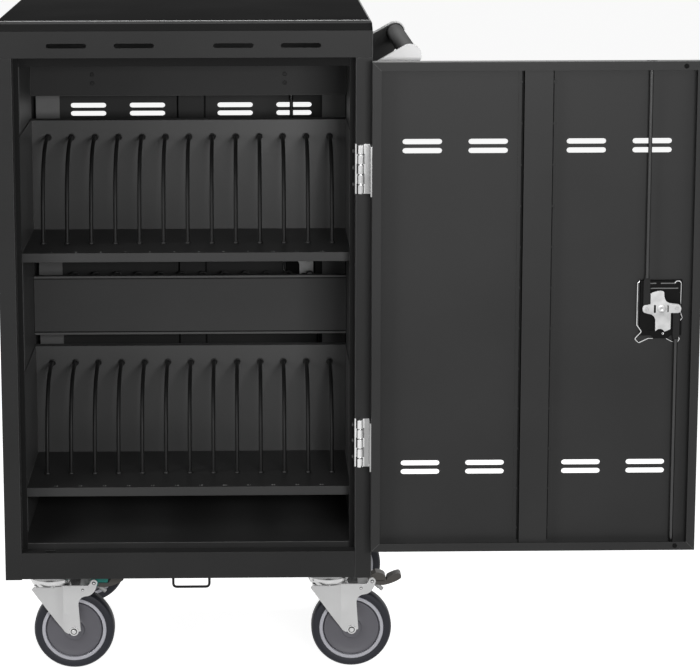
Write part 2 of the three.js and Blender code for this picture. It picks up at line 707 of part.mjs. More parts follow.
// Cam plate: two arms that move the rods on rivets, a rounded upper lobe and a long lower tongue.
function lockCam() {
  const z = DOOR_MIDDLE;
  const plate = new THREE.Shape();
  plate.moveTo(LOCK_X + 17, z + ARM_TIP);
  plate.lineTo(LOCK_X + 17, z + 23);
  plate.quadraticCurveTo(LOCK_X + 8, z + 28, LOCK_X - 2, z + 28);
  plate.quadraticCurveTo(LOCK_X - 4, z + 10, LOCK_X - 14, z + ARM_TIP);
  plate.absarc(LOCK_X - ARM_RADIUS, z, ARM_TIP, Math.PI / 2, 1.5 * Math.PI);
  plate.lineTo(LOCK_X - 13.5, z - ARM_TIP);
  plate.lineTo(LOCK_X - 13.5, z - 31);
  plate.lineTo(LOCK_X - 5, z - 35);
  plate.lineTo(LOCK_X, z - 31);
  plate.lineTo(LOCK_X + 9.5, z - 34);
  plate.quadraticCurveTo(LOCK_X + 10, z - 9, LOCK_X + 17, z - ARM_TIP);
  plate.absarc(LOCK_X + ARM_RADIUS, z, ARM_TIP, -Math.PI / 2, Math.PI / 2);
  const pieces = [
    alongY(plate, CAM_BACK, CAM_BACK + CAM_SHEET, 3),
    alongY(circle(LOCK_X, z, 8, 6), CAM_BACK + 2, CAM_BACK + 6),
  ];
  for (const side of [-1, 1]) {
    const rivet = circle(LOCK_X + side * ARM_RADIUS, z, RIVET_RADIUS, 6);
    pieces.push(alongY(rivet, ROD_Y - 2, CAM_BACK + 1));
  }
  return join(...pieces);
}

// Lock rods: round bars with a flattened paddle end that turns on the rivet under its cam arm.
function lockRod(side) {
  const x = LOCK_X + side * ARM_RADIUS;
  const z = DOOR_MIDDLE;
  const end = side > 0 ? DOOR_TOP + 1 : DOOR_BOTTOM - 1;
  const from = z + side * 46;
  const bar = alongZ(circle(x, ROD_Y, ROD_RADIUS, 8), Math.min(from, end), Math.max(from, end));
  const paddle = new THREE.Shape();
  paddle.absarc(x, z, PADDLE_TIP, side > 0 ? Math.PI : 0, side > 0 ? 2 * Math.PI : Math.PI);
  paddle.lineTo(x + side * PADDLE_TIP, z + side * 40);
  paddle.lineTo(x + side * 2.6, z + side * 50);
  paddle.lineTo(x - side * 2.6, z + side * 50);
  paddle.lineTo(x - side * PADDLE_TIP, z + side * 40);
  const bore = alongY(circle(x, z, RIVET_RADIUS + 0.9, 6), ROD_Y - 5, ROD_Y + 5);
  return cut(join(bar, alongY(paddle, ROD_Y - 1.1, ROD_Y + 1.1, 3)), bore);
}

function hangDoor(end, side, swing) {
  const door = new THREE.Group();
  door.position.set(PIN_X, -PIN_Y, 0);
  door.rotation.z = swing;
  end.add(door);
  add(door, `${side}_door_panel`, doorPanel(), BLACK_PAINT);
  add(door, `${side}_lock_body`, lockBody(), BLACK_PLASTIC);
  add(door, `${side}_lock_handle`, lockHandle(), BLACK_PLASTIC);
  add(door, `${side}_lock_cam`, lockCam(), ZINC);
  add(door, `${side}_lock_rod_upper`, lockRod(1), BLACK_PAINT);
  add(door, `${side}_lock_rod_lower`, lockRod(-1), BLACK_PAINT);
  for (const [place, offset] of [["upper", HINGE_OFFSET], ["lower", -HINGE_OFFSET]]) {
    add(door, `${side}_door_leaf_${place}`, doorLeaf(DOOR_MIDDLE + offset), CHROME);
    add(end, `${side}_frame_leaf_${place}`, frameLeaf(DOOR_MIDDLE + offset), CHROME);
  }
}

// The front end has its door swung open through half a turn, the rear end repeats it closed.
const frontEnd = new THREE.Group();
const rearEnd = new THREE.Group();
rearEnd.position.set(0, DEPTH, 0);
rearEnd.rotation.z = Math.PI;
cart.add(frontEnd, rearEnd);
const ENDS = [["front", frontEnd, Math.PI, FRONT_STOP], ["rear", rearEnd, 0, REAR_STOP]];
for (const [side, end, swing, stopWidth] of ENDS) {
  add(end, `${side}_header`, header(stopWidth), BLACK_PAINT);
  add(end, `${side}_apron`, apron(), BLACK_PAINT);
  hangDoor(end, side, swing);
}

// Caster: a top plate with the upper race, a pressed fork with its swivel cup, axle bolt and pedal pin,
// and a wheel. The fork is drawn with the swivel axis at x = 0 and the axle trailing behind it.
function casterPlate() {
  const [halfX, halfY] = CASTER_PLATE;
  const plate = alongZ(roundedRect(-halfX, halfX, -halfY, halfY, 8), PLATE_BOTTOM, PLATE_BOTTOM + 2.5);
  const low = SWIVEL_TOP + FIT;
  const high = PLATE_BOTTOM + 0.4;
  const wide = SWIVEL_RADIUS + 3;
  const race = lathe([[0, low], [SWIVEL_RADIUS - 1, low], [wide, low + 3], [wide, high], [0, high]], 12);
  return join(plate, race);
}

// One leg of a fork. A braked fork's leg spreads to an ear for the pedal's pin.
function forkLeg(braked) {
  const [pinX, pinZ] = PEDAL_PIVOT;
  const edge = TRAIL + 10.5;
  const leg = new THREE.Shape();
  leg.moveTo(TRAIL - 9, FORK_FOOT);
  leg.lineTo(edge - 6, FORK_FOOT);
  leg.quadraticCurveTo(edge, FORK_FOOT, edge, FORK_FOOT + 6);
  leg.lineTo(edge - 3, CROWN_TOP - 30);
  if (braked) {
    leg.quadraticCurveTo(edge - 2, CROWN_TOP - 18, pinX - 12, CROWN_TOP - 17);
    leg.quadraticCurveTo(pinX + 1, CROWN_TOP - 16, pinX + EAR_RADIUS, pinZ);
    leg.absarc(pinX, pinZ, EAR_RADIUS, 0, Math.PI);
    leg.lineTo(pinX - 9, CROWN_TOP);
  } else {
    leg.lineTo(edge, CROWN_TOP);
  }
  leg.lineTo(CROWN_FRONT, CROWN_TOP);
  leg.lineTo(CROWN_FRONT - 3, CROWN_TOP - 3);
  leg.lineTo(TRAIL - 13, FORK_FOOT + 6);
  return leg;
}

function casterFork(braked) {
  const [pinX, pinZ] = PEDAL_PIVOT;
  const reach = FORK_INNER + FORK_SHEET;
  const leg = forkLeg(braked);
  const crown = CROWN_TOP - FORK_SHEET;
  const cup = lathe([
    [0, crown], [SWIVEL_RADIUS - 2, crown], [SWIVEL_RADIUS + 4, CROWN_TOP + 6],
    [SWIVEL_RADIUS, SWIVEL_TOP], [0, SWIVEL_TOP],
  ], 12);
  const pieces = [
    alongY(leg, -reach, -FORK_INNER),
    alongY(leg, FORK_INNER, reach),
    box(CROWN_FRONT, TRAIL + 10, -reach, reach, crown, CROWN_TOP),
    cup,
    alongY(circle(TRAIL, WHEEL_RADIUS, AXLE_RADIUS, 8), -reach - 6, reach + 6),
    alongY(circle(TRAIL, WHEEL_RADIUS, AXLE_NUT, 6), -reach - 5, -reach + 0.5),
    alongY(circle(TRAIL, WHEEL_RADIUS, AXLE_NUT, 6), reach - 0.5, reach + 5),
  ];
  if (braked) {
    pieces.push(alongY(circle(pinX, pinZ, PEDAL_PIN, 6), -reach - 1.5, reach + 1.5));
  }
  return join(...pieces);
}

function casterWheel() {
  const sides = 16;
  const half = [
    [5.9, 17.5], [15, 17.5], [17, 9], [43, 8], [46, 14], [56, 15], [WHEEL_RADIUS, 8],
  ];
  const stretch = 1 / Math.cos(Math.PI / sides);
  const near = half.map(([r, y]) => new THREE.Vector2(r * stretch, -y));
  const far = half.map(([r, y]) => new THREE.Vector2(r * stretch, y)).reverse();
  const profile = [...near, ...far, near[0].clone()];
  const wheel = new THREE.LatheGeometry(profile, sides).rotateY(Math.PI / sides);
  return wheel.translate(TRAIL, 0, WHEEL_RADIUS);
}

// Brake pedal: a rocker that turns on the fork's pin, humped over the pin, with an upturned foot pad.
function brakePedal() {
  const [x, z] = PEDAL_PIVOT;
  const lever = new THREE.Shape();
  lever.absarc(x, z, 6, 0.6 * Math.PI, 1.4 * Math.PI);
  lever.lineTo(x + 17, z - 10);
  lever.quadraticCurveTo(x + 34, z - 5, x + 45, z + 4);
  lever.quadraticCurveTo(x + 48, z + 12, x + 42, z + 14);
  lever.quadraticCurveTo(x + 32, z + 9, x + 24, z + 7);
  lever.quadraticCurveTo(x + 19, z + 16, x + 8, z + 16);
  const bore = alongY(circle(x, z, PEDAL_PIN + 0.9, 6), -20, 20);
  return cut(alongY(lever, -PEDAL_HALF, PEDAL_HALF, 3), bore);
}

for (const [end, y] of [["front", CASTER_Y], ["rear", DEPTH - CASTER_Y]]) {
  for (const [hand, x] of [["left", -CASTER_X], ["right", CASTER_X]]) {
    const caster = new THREE.Group();
    caster.position.set(x, y, 0);
    cart.add(caster);
    add(caster, `${end}_${hand}_caster_plate`, casterPlate(), ZINC);
    const braked = end === "front";
    add(caster, `${end}_${hand}_caster_fork`, casterFork(braked), ZINC);
    add(caster, `${end}_${hand}_caster_wheel`, casterWheel(), WHEEL_GREY);
    if (braked) {
      add(caster, `${end}_${hand}_brake_pedal`, brakePedal(), PEDAL_GREY);
    }
  }
}

// The part's frame: the middle of its box on the floor, with the front door open.
const bounds = new THREE.Box3().setFromObject(cart);
const middle = bounds.getCenter(new THREE.Vector3());
cart.position.set(-middle.x, -middle.y, -bounds.min.z);

export default cart;
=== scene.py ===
import json
import math

import bmesh
import bpy
from mathutils import Matrix, Vector

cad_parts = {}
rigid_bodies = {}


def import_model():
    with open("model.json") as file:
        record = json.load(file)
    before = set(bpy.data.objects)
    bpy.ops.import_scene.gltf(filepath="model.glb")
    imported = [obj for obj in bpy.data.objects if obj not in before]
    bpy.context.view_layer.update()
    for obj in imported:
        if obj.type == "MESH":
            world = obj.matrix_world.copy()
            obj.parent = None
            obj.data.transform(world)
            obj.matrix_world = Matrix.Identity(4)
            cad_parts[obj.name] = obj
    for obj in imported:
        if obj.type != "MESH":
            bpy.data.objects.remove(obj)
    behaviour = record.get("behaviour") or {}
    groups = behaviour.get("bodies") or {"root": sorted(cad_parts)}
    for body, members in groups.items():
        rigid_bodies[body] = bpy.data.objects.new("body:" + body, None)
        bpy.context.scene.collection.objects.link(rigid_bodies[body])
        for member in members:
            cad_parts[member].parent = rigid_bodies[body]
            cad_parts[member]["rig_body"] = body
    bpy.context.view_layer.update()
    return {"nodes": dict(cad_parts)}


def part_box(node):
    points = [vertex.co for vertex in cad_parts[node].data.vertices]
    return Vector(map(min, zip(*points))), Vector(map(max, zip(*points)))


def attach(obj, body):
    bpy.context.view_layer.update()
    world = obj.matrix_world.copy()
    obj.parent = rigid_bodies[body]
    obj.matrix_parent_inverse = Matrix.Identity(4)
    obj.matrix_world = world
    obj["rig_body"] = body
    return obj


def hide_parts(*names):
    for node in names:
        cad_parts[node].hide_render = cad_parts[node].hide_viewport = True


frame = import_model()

# Cabinet shell: side panels folded round the corner posts, headers and aprons across the ends, base,
# tray, uprights and partition inside, all of 1.5 mm steel. It is coated black after folding, with a
# faint orange peel and cloudy patches in the gloss. Its rounded edges are painted lighter, partly as
# rubbed coat and partly as painted highlight.
MM = 0.001
cover_low, cover_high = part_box("top_cover")
CABINET_MIDDLE = (cover_low.x + cover_high.x) / 2
CABINET_FRONT = cover_low.y
WIDTH = round((cover_high.x - cover_low.x) / MM)
DEPTH = round((cover_high.y - cover_low.y) / MM)
TOP = round(cover_high.z / MM)
SHEET = 1.5


def at(x, y, z):
    """A point of the cabinet: X from its middle, Y from its front, Z from the floor, in millimetres."""
    return Vector((CABINET_MIDDLE + x * MM, CABINET_FRONT + y * MM, z * MM))


def shader_group(name, inputs, outputs):
    tree = bpy.data.node_groups.new(name, "ShaderNodeTree")
    for socket, value in inputs:
        made = tree.interface.new_socket(socket, in_out="INPUT", socket_type="NodeSocketFloat")
        made.default_value = value
    for socket in outputs:
        tree.interface.new_socket(socket, in_out="OUTPUT", socket_type="NodeSocketFloat")
    return tree, tree.nodes.new("NodeGroupInput"), tree.nodes.new("NodeGroupOutput")


def math_node(tree, operation, first, second):
    node = tree.nodes.new("ShaderNodeMath")
    node.operation = operation
    for socket, value in zip(node.inputs, (first, second)):
        if isinstance(value, (int, float)):
            socket.default_value = value
        else:
            tree.links.new(value, socket)
    return node.outputs["Value"]


surface_grain, grain_in, grain_out = shader_group(
    "surface_grain",
    [("Peel Scale", 260.0), ("Grain Scale", 1500.0), ("Cloud Scale", 5.0)],
    ["Height", "Cloud"],
)
grain_place = surface_grain.nodes.new("ShaderNodeTexCoord")
grain_layers = {}
for socket, detail in (("Peel Scale", 2.0), ("Grain Scale", 1.0), ("Cloud Scale", 4.0)):
    layer = surface_grain.nodes.new("ShaderNodeTexNoise")
    layer.inputs["Detail"].default_value = detail
    surface_grain.links.new(grain_place.outputs["Object"], layer.inputs["Vector"])
    surface_grain.links.new(grain_in.outputs[socket], layer.inputs["Scale"])
    grain_layers[socket] = layer.outputs["Fac"]
fine_share = math_node(surface_grain, "MULTIPLY", grain_layers["Grain Scale"], 0.45)
grain_height = math_node(surface_grain, "ADD", grain_layers["Peel Scale"], fine_share)
surface_grain.links.new(grain_height, grain_out.inputs["Height"])
surface_grain.links.new(grain_layers["Cloud Scale"], grain_out.inputs["Cloud"])


def grained(name, dark, light, rough, relief, metallic=0.0, specular=0.5, scales=(260, 1500, 5)):
    """A finish whose colour and gloss drift between two values, with a fine raised grain."""
    material = bpy.data.materials.new(name)
    material.use_nodes = True
    tree = material.node_tree
    shader = tree.nodes["Principled BSDF"]
    shader.inputs["Metallic"].default_value = metallic
    shader.inputs["Specular IOR Level"].default_value = specular
    grain = tree.nodes.new("ShaderNodeGroup")
    grain.node_tree = surface_grain
    for socket, scale in zip(("Peel Scale", "Grain Scale", "Cloud Scale"), scales):
        grain.inputs[socket].default_value = scale
    ramp = tree.nodes.new("ShaderNodeValToRGB")
    for element, position, colour in zip(ramp.color_ramp.elements, (0.3, 0.7), (dark, light)):
        element.position = position
        element.color = (*colour, 1)
    tree.links.new(grain.outputs["Cloud"], ramp.inputs["Fac"])
    tree.links.new(ramp.outputs["Color"], shader.inputs["Base Color"])
    gloss = tree.nodes.new("ShaderNodeMapRange")
    for socket, value in zip(("From Min", "From Max", "To Min", "To Max"), (0.3, 0.7, *rough)):
        gloss.inputs[socket].default_value = value
    tree.links.new(grain.outputs["Cloud"], gloss.inputs["Value"])
    tree.links.new(gloss.outputs["Result"], shader.inputs["Roughness"])
    bump = tree.nodes.new("ShaderNodeBump")
    bump.inputs["Strength"].default_value = relief
    bump.inputs["Distance"].default_value = 0.0002
    tree.links.new(grain.outputs["Height"], bump.inputs["Height"])
    tree.links.new(bump.outputs["Normal"], shader.inputs["Normal"])
    return material


def grey(value, warm=0.0):
    return (value * (1 + warm), value, value * (1 - warm))


black_coat = grained("black_coat", grey(0.036), grey(0.043), (0.36, 0.44), 0.25, specular=0.1)
# Rounded edges take a lighter coat, partly as rubbed coat and partly as painted highlight.
edge_wear_and_highlight = grained("edge_wear_and_highlight", grey(0.085), grey(0.11), (0.36, 0.44), 0.15, specular=0.3)
FOLD_ROUNDING = 0.65
BEVEL_ANGLE = math.radians(28)


def link_object(name, mesh):
    made = bpy.data.objects.new(name, mesh)
    bpy.context.scene.collection.objects.link(made)
    return made


def baked_mesh(holder):
    """The holder's mesh with its modifiers worked in, as a plain mesh, and the holder removed."""
    graph = bpy.context.evaluated_depsgraph_get()
    mesh = bpy.data.meshes.new_from_object(holder.evaluated_get(graph))
    bpy.data.objects.remove(holder)
    return mesh


def fit_piece(name, mesh, body, replaces=()):
    mesh.name = name
    piece = link_object(name, mesh)
    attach(piece, body)
    if replaces:
        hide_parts(*replaces)
    return piece


def mesh_of(shape, material, bevel=0.0, edge=None):
    """A shape drawn in metres as a mesh, with its edges rounded and any second material on the rounding."""
    bmesh.ops.recalc_face_normals(shape, faces=shape.faces)
    mesh = bpy.data.meshes.new("shape")
    shape.to_mesh(mesh)
    shape.free()
    mesh.shade_smooth()
    mesh.materials.append(material)
    if not bevel:
        mesh.set_sharp_from_angle(angle=BEVEL_ANGLE)
        return mesh
    if edge:
        mesh.materials.append(edge)
    holder = link_object("rounding", mesh)
    rounding = holder.modifiers.new("rounding", "BEVEL")
    rounding.width = bevel * MM
    rounding.segments = 2
    rounding.limit_method = "ANGLE"
    rounding.angle_limit = BEVEL_ANGLE
    rounding.material = 1 if edge else -1
    flats = holder.modifiers.new("flats", "WEIGHTED_NORMAL")
    flats.mode = "FACE_AREA"
    flats.weight = 80
    return baked_mesh(holder)


def dress(node, material, bevel=0.45, edge=None):
    """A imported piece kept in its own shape, with its triangles merged and its edges rounded."""
    source = frame["nodes"][node]
    shape = bmesh.new()
    shape.from_mesh(source.data)
    bmesh.ops.remove_doubles(shape, verts=shape.verts, dist=0.002 * MM)
    flat = math.radians(0.5)
    bmesh.ops.dissolve_limit(shape, angle_limit=flat, verts=shape.verts, edges=shape.edges)
    mesh = mesh_of(shape, material, bevel, edge)
    return fit_piece(node + "_finish", mesh, source["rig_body"], [node])


# A lighter grey for parts and faces inside the cabinet, as painted light.
inner_painted_light = grained("inner_painted_light", grey(0.06), grey(0.07), (0.34, 0.42), 0.2, specular=0.15)
# A mid grey for the rear stops' forward faces, as painted light.
stop_painted_light = grained("stop_painted_light", grey(0.2), grey(0.27), (0.36, 0.44), 0.2, specular=0.15)
# A near black for painted shade on the door stops and in dark lines.
painted_shade_black = grained("painted_shade_black", grey(0.009), grey(0.013), (0.6, 0.7), 0.3, specular=0.1)
POST_INNER = 255
STOP_BEHIND = 10
SHELL = [
    "left_side_panel", "right_side_panel", "front_header", "rear_header", "front_apron", "rear_apron",
    "base_plate", "bottom_tray", "upper_rack_tray", "lower_rack_tray", "partition_top_rail",
]
# The rounded edges of the shell take the lighter edge coat, partly rubbed and partly painted highlight.
for node in SHELL:
    dress(node, black_coat, FOLD_ROUNDING, edge_wear_and_highlight)
# The uprights and the middle panel are painted a lighter grey as painted light.
for node in ("left_upright", "right_upright", "partition_middle_panel"):
    dress(node, inner_painted_light, FOLD_ROUNDING, edge_wear_and_highlight)


def tint(name, material, chosen):
    """Gives another finish to the faces of a piece that a test picks."""
    mesh = bpy.data.objects[name].data
    mesh.materials.append(material)
    for face in mesh.polygons:
        if chosen(face):
            face.material_index = len(mesh.materials) - 1


def stop_face(face, rear, way):
    """Whether a face belongs to the front or rear door stops and looks forward (-1) or back (1)."""
    x = (face.center.x - CABINET_MIDDLE) / MM
    y = (face.center.y - CABINET_FRONT) / MM
    behind = DEPTH - y if rear else y
    return abs(x) < POST_INNER and STOP_BEHIND < behind < DEPTH / 2 and face.normal.y * way > 0.9


def inner_face(face):
    """Whether a face of a side panel looks into the cabinet."""
    x = (face.center.x - CABINET_MIDDLE) / MM
    return abs(x) > POST_INNER and face.normal.x * x < 0 and abs(face.normal.x) > 0.9


for node in ("left_side_panel", "right_side_panel"):
    # The inner faces of the side panels are painted a lighter grey as painted light.
    tint(node + "_finish", inner_painted_light, inner_face)
    # The rear stops' forward faces are painted a mid grey as painted light.
    tint(node + "_finish", stop_painted_light, lambda face: stop_face(face, True, -1))
# The door stops behind the front and rear headers and posts are painted near black as painted shade.
for node in ("left_side_panel", "right_side_panel", "front_header"):
    tint(node + "_finish", painted_shade_black, lambda face: stop_face(face, False, -1))
for node in ("left_side_panel", "right_side_panel", "rear_header"):
    tint(node + "_finish", painted_shade_black, lambda face: stop_face(face, True, 1))

# Top cover: a pressed lid with a bull-nosed rim and slightly leaning sides, coated like the shell.
# It sits on the ledges of the side panels.
COVER_BOTTOM = 1000
COVER_LEAN = 0.9
COVER_NOSE = 6
COVER_CORNER = 7
COVER_WALL = 3
cover_coat = grained("cover_coat", grey(0.026), grey(0.031), (0.42, 0.5), 0.3, specular=0.0)
nose_painted_highlight = grained("nose_painted_highlight", grey(0.07), grey(0.085), (0.36, 0.44), 0.2, specular=0.2)
NOSE_SLOPE = (0.3, 0.97)


def arc_points(u, v, radius, start, end, steps):
    """Points of an arc, with its angles in degrees."""
    points = []
    for i in range(steps + 1):
        angle = math.radians(start + (end - start) * i / steps)
        points.append((u + radius * math.cos(angle), v + radius * math.sin(angle)))
    return points


def round_box(u0, u1, v0, v1, radius, steps=5):
    points = arc_points(u1 - radius, v0 + radius, radius, -90, 0, steps)
    points += arc_points(u1 - radius, v1 - radius, radius, 0, 90, steps)
    points += arc_points(u0 + radius, v1 - radius, radius, 90, 180, steps)
    return points + arc_points(u0 + radius, v0 + radius, radius, 180, 270, steps)


def add_loft(shape, rings):
    """A skin through rings of points that match one to one, with flat ends."""
    loops = [[shape.verts.new(point) for point in ring] for ring in rings]
    for low, high in zip(loops, loops[1:]):
        for i in range(len(low)):
            j = (i + 1) % len(low)
            shape.faces.new((low[i], low[j], high[j], high[i]))
    shape.faces.new(list(reversed(loops[0])))
    shape.faces.new(loops[-1])


cover_rings = [(COVER_WALL, TOP - COVER_WALL), (COVER_WALL, COVER_BOTTOM), (0, COVER_BOTTOM)]
nose_middle = COVER_LEAN + COVER_NOSE
for inset, z in arc_points(nose_middle, TOP - COVER_NOSE, COVER_NOSE, 180, 90, 6):
    cover_rings.append((inset, z))
cover_rings.append((nose_middle + 1, TOP))
cover = bmesh.new()
rings = []
for inset, z in cover_rings:
    plan = round_box(inset - WIDTH / 2, WIDTH / 2 - inset, inset, DEPTH - inset, COVER_CORNER)
    rings.append([at(x, y, z) for x, y in plan])
add_loft(cover, rings)
fit_piece("top_cover_finish", mesh_of(cover, cover_coat), "cabinet", ["top_cover"])
# The sloping faces of the bull-nose are painted lighter as a painted highlight.
tint("top_cover_finish", nose_painted_highlight, lambda face: NOSE_SLOPE[0] < face.normal.z < NOSE_SLOPE[1])

# Divider racks: a back panel folded back along its top, and thirteen bent steel rods that stand in
# collars on the tray and end in grommets in the panel. The rods have a glossier coat than the shell, and
# the back panels are painted a lighter grey as painted light.
RACK_HALF = 252
RACK_BACK = 280
RACK_HEIGHT = 178
PANEL_HEM = 9
PANEL_FOOT = 8
DIVIDERS = 13
DIVIDER_PITCH = 37.4
DIVIDER_RADIUS = 3.1
DIVIDER_TOP = 149
DIVIDER_RISE = 7
DIVIDER_REACH = 108
DIVIDER_FOOT = 141
DIVIDER_BEND = 110
divider_coat = grained("divider_coat", grey(0.016), grey(0.021), (0.34, 0.42), 0.12, specular=0.14)
# A lighter grey for the rack back panels and tray walls, as painted light.
rack_painted_light = grained("rack_painted_light", grey(0.074), grey(0.088), (0.32, 0.4), 0.2, specular=0.18)
rubber_and_painted_shade = grained("rubber_and_painted_shade", grey(0.006), grey(0.01), (0.5, 0.6), 0.2)


def along_x(u, v, w):
    return at(w, u, v)


def along_y(u, v, w):
    return at(u, w, v)


def along_z(u, v, w):
    return at(u, v, w)


def rounded(corners, steps=4):
    """A closed outline from (u, v, radius) corners, each rounded by its own radius."""
    points = []
    for i, (u, v, radius) in enumerate(corners):
        if not radius:
            points.append((u, v))
            continue
        corner = Vector((u, v))
        before = (Vector(corners[i - 1][:2]) - corner).normalized()
        after = (Vector(corners[(i + 1) % len(corners)][:2]) - corner).normalized()
        half = before.angle(after) / 2
        middle = corner + (before + after).normalized() * (radius / math.sin(half))
        start = corner + before * (radius / math.tan(half)) - middle
        end = corner + after * (radius / math.tan(half)) - middle
        for step in range(steps + 1):
            points.append(tuple(middle + start.slerp(end, step / steps)))
    return points


def add_plate(shape, outlines, low, high, place):
    """A flat plate: the first outline is its edge, any others are holes through it."""
    levels = []
    for w in (low, high):
        loops = [[shape.verts.new(place(u, v, w)) for u, v in outline] for outline in outlines]
        edges = []
        for loop in loops:
            edges += [shape.edges.new(pair) for pair in zip(loop, loop[1:] + loop[:1])]
        bmesh.ops.triangle_fill(shape, use_beauty=True, edges=edges)
        levels.append(loops)
    for under, over in zip(*levels):
        for i in range(len(under)):
            j = (i + 1) % len(under)
            shape.faces.new((under[i], under[j], over[j], over[i]))


def add_turned(shape, profile, sides, place):
    """A turned solid from (radius, height) points, closed on its axis or as a ring."""
    rings = []
    for radius, height in profile:
        if radius == 0:
            rings.append([shape.verts.new(place(0, 0, height))])
            continue
        circle = arc_points(0, 0, radius, 0, 360, sides)[:-1]
        rings.append([shape.verts.new(place(u, v, height)) for u, v in circle])
    pairs = list(zip(rings, rings[1:]))
    if profile[0][0] and profile[-1][0]:
        pairs.append((rings[-1], rings[0]))
    for first, second in pairs:
        for i in range(sides):
            j = (i + 1) % sides
            corners = [first[i % len(first)], first[j % len(first)], second[j % len(second)], second[i % len(second)]]
            shape.faces.new(list(dict.fromkeys(corners)))


def geometry_tree(name, inputs):
    tree = bpy.data.node_groups.new(name, "GeometryNodeTree")
    tree.interface.new_socket("Geometry", in_out="INPUT", socket_type="NodeSocketGeometry")
    for socket, kind in inputs:
        tree.interface.new_socket(socket, in_out="INPUT", socket_type="NodeSocket" + kind)
    tree.interface.new_socket("Material", in_out="INPUT", socket_type="NodeSocketMaterial")
    tree.interface.new_socket("Geometry", in_out="OUTPUT", socket_type="NodeSocketGeometry")
    return tree, tree.nodes.new("NodeGroupInput"), tree.nodes.new("NodeGroupOutput")


def close_tree(tree, entry, leave, instances):
    """Makes the copies real, gives them their finish and ends the tree."""
    real = tree.nodes.new("GeometryNodeRealizeInstances")
    finish = tree.nodes.new("GeometryNodeSetMaterial")
    tree.links.new(instances, real.inputs["Geometry"])
    tree.links.new(real.outputs["Geometry"], finish.inputs["Geometry"])
    tree.links.new(entry.outputs["Material"], finish.inputs["Material"])
    tree.links.new(finish.outputs["Geometry"], leave.inputs["Geometry"])


def grow(tree, values, mesh=None):
    """Runs a tree with the given inputs and returns its result as a plain mesh."""
    holder = link_object("grown", mesh or bpy.data.meshes.new("seed"))
    modifier = holder.modifiers.new("grow", "NODES")
    modifier.node_group = tree
    for item in tree.interface.items_tree:
        if item.in_out == "INPUT" and item.name in values:
            modifier[item.identifier] = values[item.name]
    return baked_mesh(holder)


rod_row, rod_in, rod_out = geometry_tree("bent_rod_row", [
    ("Count", "Int"), ("First", "Vector"), ("Step", "Vector"), ("Radius", "Float"),
    ("Top", "Vector"), ("Top Handle", "Vector"), ("Foot Handle", "Vector"), ("Foot", "Vector"),
])
rod_line = rod_row.nodes.new("GeometryNodeMeshLine")
rod_path = rod_row.nodes.new("GeometryNodeCurvePrimitiveBezierSegment")
rod_path.inputs["Resolution"].default_value = 28
rod_section = rod_row.nodes.new("GeometryNodeCurvePrimitiveCircle")
rod_section.inputs["Resolution"].default_value = 14
rod_skin = rod_row.nodes.new("GeometryNodeCurveToMesh")
rod_skin.inputs["Fill Caps"].default_value = True
rod_copies = rod_row.nodes.new("GeometryNodeInstanceOnPoints")
for socket, target in (
    ("Count", rod_line.inputs["Count"]), ("First", rod_line.inputs["Start Location"]),
    ("Step", rod_line.inputs["Offset"]), ("Radius", rod_section.inputs["Radius"]),
    ("Top", rod_path.inputs["Start"]), ("Top Handle", rod_path.inputs["Start Handle"]),
    ("Foot Handle", rod_path.inputs["End Handle"]), ("Foot", rod_path.inputs["End"]),
):
    rod_row.links.new(rod_in.outputs[socket], target)
rod_row.links.new(rod_path.outputs["Curve"], rod_skin.inputs["Curve"])
rod_row.links.new(rod_section.outputs["Curve"], rod_skin.inputs["Profile Curve"])
rod_row.links.new(rod_line.outputs["Mesh"], rod_copies.inputs["Points"])
rod_row.links.new(rod_skin.outputs["Mesh"], rod_copies.inputs["Instance"])
close_tree(rod_row, rod_in, rod_out, rod_copies.outputs["Instances"])

copy_row, copy_in, copy_out = geometry_tree("copy_row", [("Count", "Int"), ("First", "Vector"), ("Step", "Vector")])
copy_line = copy_row.nodes.new("GeometryNodeMeshLine")
copies = copy_row.nodes.new("GeometryNodeInstanceOnPoints")
for socket, target in (("Count", "Count"), ("First", "Start Location"), ("Step", "Offset")):
    copy_row.links.new(copy_in.outputs[socket], copy_line.inputs[target])
copy_row.links.new(copy_line.outputs["Mesh"], copies.inputs["Points"])
copy_row.links.new(copy_in.outputs["Geometry"], copies.inputs["Instance"])
close_tree(copy_row, copy_in, copy_out, copies.outputs["Instances"])


def plain(u, v, w):
    """A point of a small piece that is drawn about its own middle."""
    return Vector((u, v, w)) * MM


def facing_front(u, v, w):
    return Vector((u, -w, v)) * MM


def row_of(item, count, pitch, y, z, material):
    """A row of like pieces across the cabinet, centred on its middle."""
    first = at(-(count - 1) / 2 * pitch, y, z)
    values = {"Count": count, "First": first, "Step": Vector((pitch * MM, 0, 0)), "Material": material}
    return grow(copy_row, values, item)


def ring_item(profile, place, sides=20):
    shape = bmesh.new()
    add_turned(shape, profile, sides, place)
    return mesh_of(shape, rubber_and_painted_shade)


def tray_wing(face):
    """Whether a face of a tray is the inward side of one of its end walls."""
    return face.normal.x * (CABINET_MIDDLE - face.center.x) > 0 and abs(face.normal.x) > 0.9


# The inward sides of the tray end walls and the tray faces that look forward are painted lighter as painted light.
for level in ("upper", "lower"):
    tint(f"{level}_rack_tray_finish", rack_painted_light, tray_wing)
    tint(f"{level}_rack_tray_finish", inner_painted_light, lambda face: face.normal.y < -0.9)

